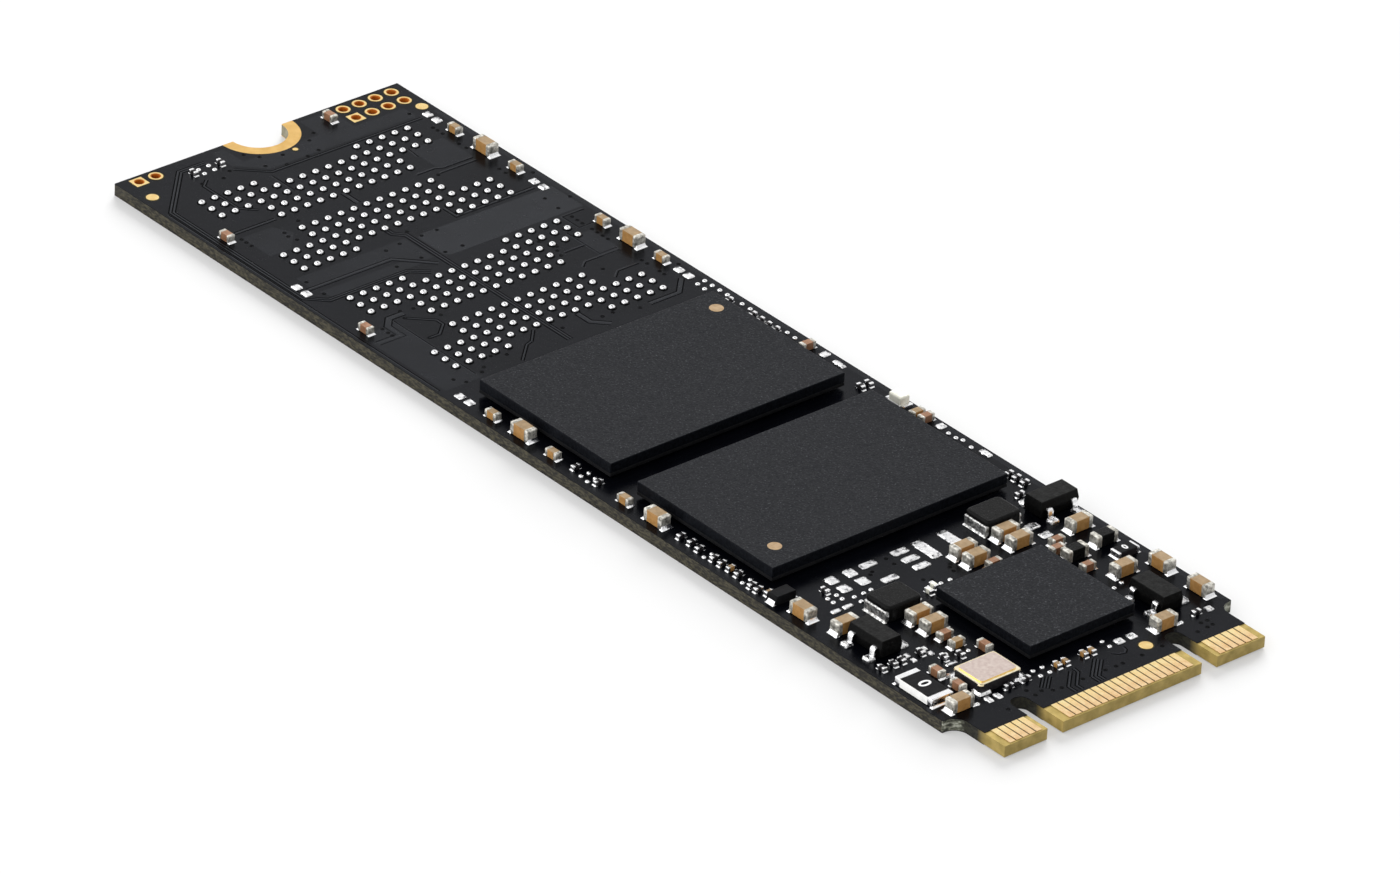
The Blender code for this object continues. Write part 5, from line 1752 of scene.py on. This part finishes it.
# %% Floor
FLOOR_GREY = 0.47
FLOOR_LIFT = 0.25
FLOOR_DROP = 0.02
bpy.ops.object.select_all(action="DESELECT")
bpy.ops.mesh.primitive_plane_add(size=4, location=(0, 0, -FLOOR_DROP * MM))
floor = bpy.context.active_object
floor.name = "floor"
paper = bpy.data.materials.new("white_paper")
paper.use_nodes = True
paper.node_tree.nodes.remove(shader_of(paper))
matt = node(paper, "ShaderNodeBsdfDiffuse", Color=(FLOOR_GREY, FLOOR_GREY, FLOOR_GREY, 1))
glow = node(paper, "ShaderNodeEmission", Color=(1, 1, 1, 1))
rays = node(paper, "ShaderNodeLightPath").outputs
seen = calculate(paper, "MAXIMUM", rays["Is Camera Ray"], rays["Is Glossy Ray"])
through = calculate(paper, "MAXIMUM", seen, rays["Is Transmission Ray"])
wire(paper, calculate(paper, "MULTIPLY", through, FLOOR_LIFT), glow.inputs["Strength"])
both = node(paper, "ShaderNodeAddShader")
wire(paper, matt.outputs[0], both.inputs[0])
wire(paper, glow.outputs[0], both.inputs[1])
clear = node(paper, "ShaderNodeBsdfTransparent")
side = node(paper, "ShaderNodeNewGeometry")
one_sided = node(paper, "ShaderNodeMixShader")
wire(paper, side.outputs["Backfacing"], one_sided.inputs["Fac"])
wire(paper, both.outputs[0], one_sided.inputs[1])
wire(paper, clear.outputs[0], one_sided.inputs[2])
wire(paper, one_sided.outputs[0], paper.node_tree.nodes["Material Output"].inputs["Surface"])
dress(floor, paper)
print("floor laid, lifted by", FLOOR_LIFT)

# %% [markdown]
# ## The room
#
# Metal shows what is round it, so the room matters as much as the lamps. It is bright nearly all round,
# brightest behind the drive and above, with a fill from the near long side. A small dark patch overhead puts
# the dark dots on the solder domes. Lamps with edges would do this too, but a few soft ramps by direction
# leave no hard outlines in the gold.

# %% Room
scene.view_settings.view_transform = "Standard"
studio = bpy.data.worlds.new("studio")
scene.world = studio
studio.use_nodes = True
heading = node(studio, "ShaderNodeTexCoord")


def ramp_towards(direction, kind, **limits):
    """A value between the limits, by how far a look into the room points in this direction."""
    facing = node(studio, "ShaderNodeVectorMath")
    facing.operation = "DOT_PRODUCT"
    facing.inputs[1].default_value = Vector(direction).normalized()
    wire(studio, heading.outputs["Generated"], facing.inputs[0])
    ramp = node(studio, "ShaderNodeMapRange", **limits)
    ramp.interpolation_type = kind
    wire(studio, facing.outputs["Value"], ramp.inputs["Value"])
    return ramp.outputs["Result"]


softbox = {"From_Min": 0.35, "From_Max": 0.85, "To_Min": 0.72, "To_Max": 1.0}
dark_patch = {"From_Min": 0.925, "From_Max": 0.965, "To_Min": 1.0, "To_Max": 0.05}
near_fill = {"From_Min": 0.35, "From_Max": 0.9, "To_Min": 0.0, "To_Max": 1.3}
spread = ramp_towards((-0.45, 0.40, 0.80), "SMOOTHSTEP", **softbox)
dimming = ramp_towards((-0.22, 0.2, 0.95), "LINEAR", **dark_patch)
fill = ramp_towards((-0.25, -0.92, 0.3), "SMOOTHSTEP", **near_fill)
brightness = calculate(studio, "ADD", calculate(studio, "MULTIPLY", spread, dimming), fill)
room = studio.node_tree.nodes["Background"]
room.inputs["Color"].default_value = (1, 1, 1, 1)
wire(studio, brightness, room.inputs["Strength"])
print("room from", softbox["To_Min"], "to", softbox["To_Max"], "with a fill of", near_fill["To_Max"])

# %% [markdown]
# ## The key light
#
# The light that casts the shadow comes from behind the drive and low. It is a sun with a wide disc, so the
# shadow is soft. Reflections leave it out, because its glint would burn out the gold.

# %% Key light
KEY_POWER = 5.6
KEY_SPREAD = 40
toward_key = Vector((-0.60, 0.62, 0.31))
sun_data = bpy.data.lights.new("key", "SUN")
sun_data.energy = KEY_POWER
sun_data.angle = math.radians(KEY_SPREAD)
key = bpy.data.objects.new("key", sun_data)
scene.collection.objects.link(key)
key.visible_glossy = False
key.rotation_mode = "QUATERNION"
key.rotation_quaternion = toward_key.to_track_quat("Z", "Y")
print("key light from", tuple(round(v, 2) for v in toward_key.normalized()))

# %% [markdown]
# ## The camera
#
# The camera has a long lens and stands where the picture was taken from, rolled by a few degrees. Its place
# is worked out from two angles and a distance, because that is how one would walk round a table with it.

# %% Camera
AZIMUTH, ELEVATION, ROLL = (math.radians(angle) for angle in (48.1866, 30.3796, 2.9881))
DISTANCE = 588.15 * MM
AIM = Vector((3.0405, -0.8141, 0)) * MM
FOCAL_PIXELS = 10039.93
PICTURE_WIDTH = 1400
level_back = Vector((math.sin(AZIMUTH), -math.cos(AZIMUTH), 0))
back = level_back * math.cos(ELEVATION) + Vector((0, 0, math.sin(ELEVATION)))
right = (-back).cross(Vector((0, 0, 1))).normalized()
above = right.cross(-back)
rolled_right = right * math.cos(ROLL) + above * math.sin(ROLL)
rolled_above = above * math.cos(ROLL) - right * math.sin(ROLL)
lens = bpy.data.cameras.new("camera")
lens.sensor_width = 36
lens.lens = FOCAL_PIXELS / PICTURE_WIDTH * lens.sensor_width
lens.clip_start = 0.01
lens.clip_end = 10
camera = bpy.data.objects.new("camera", lens)
scene.collection.objects.link(camera)
stand = Matrix((rolled_right, rolled_above, back)).transposed().to_4x4()
stand.translation = AIM + back * DISTANCE
camera.matrix_world = stand
scene.camera = camera
print("lens", round(lens.lens, 1), "mm at", round(DISTANCE, 3), "m")
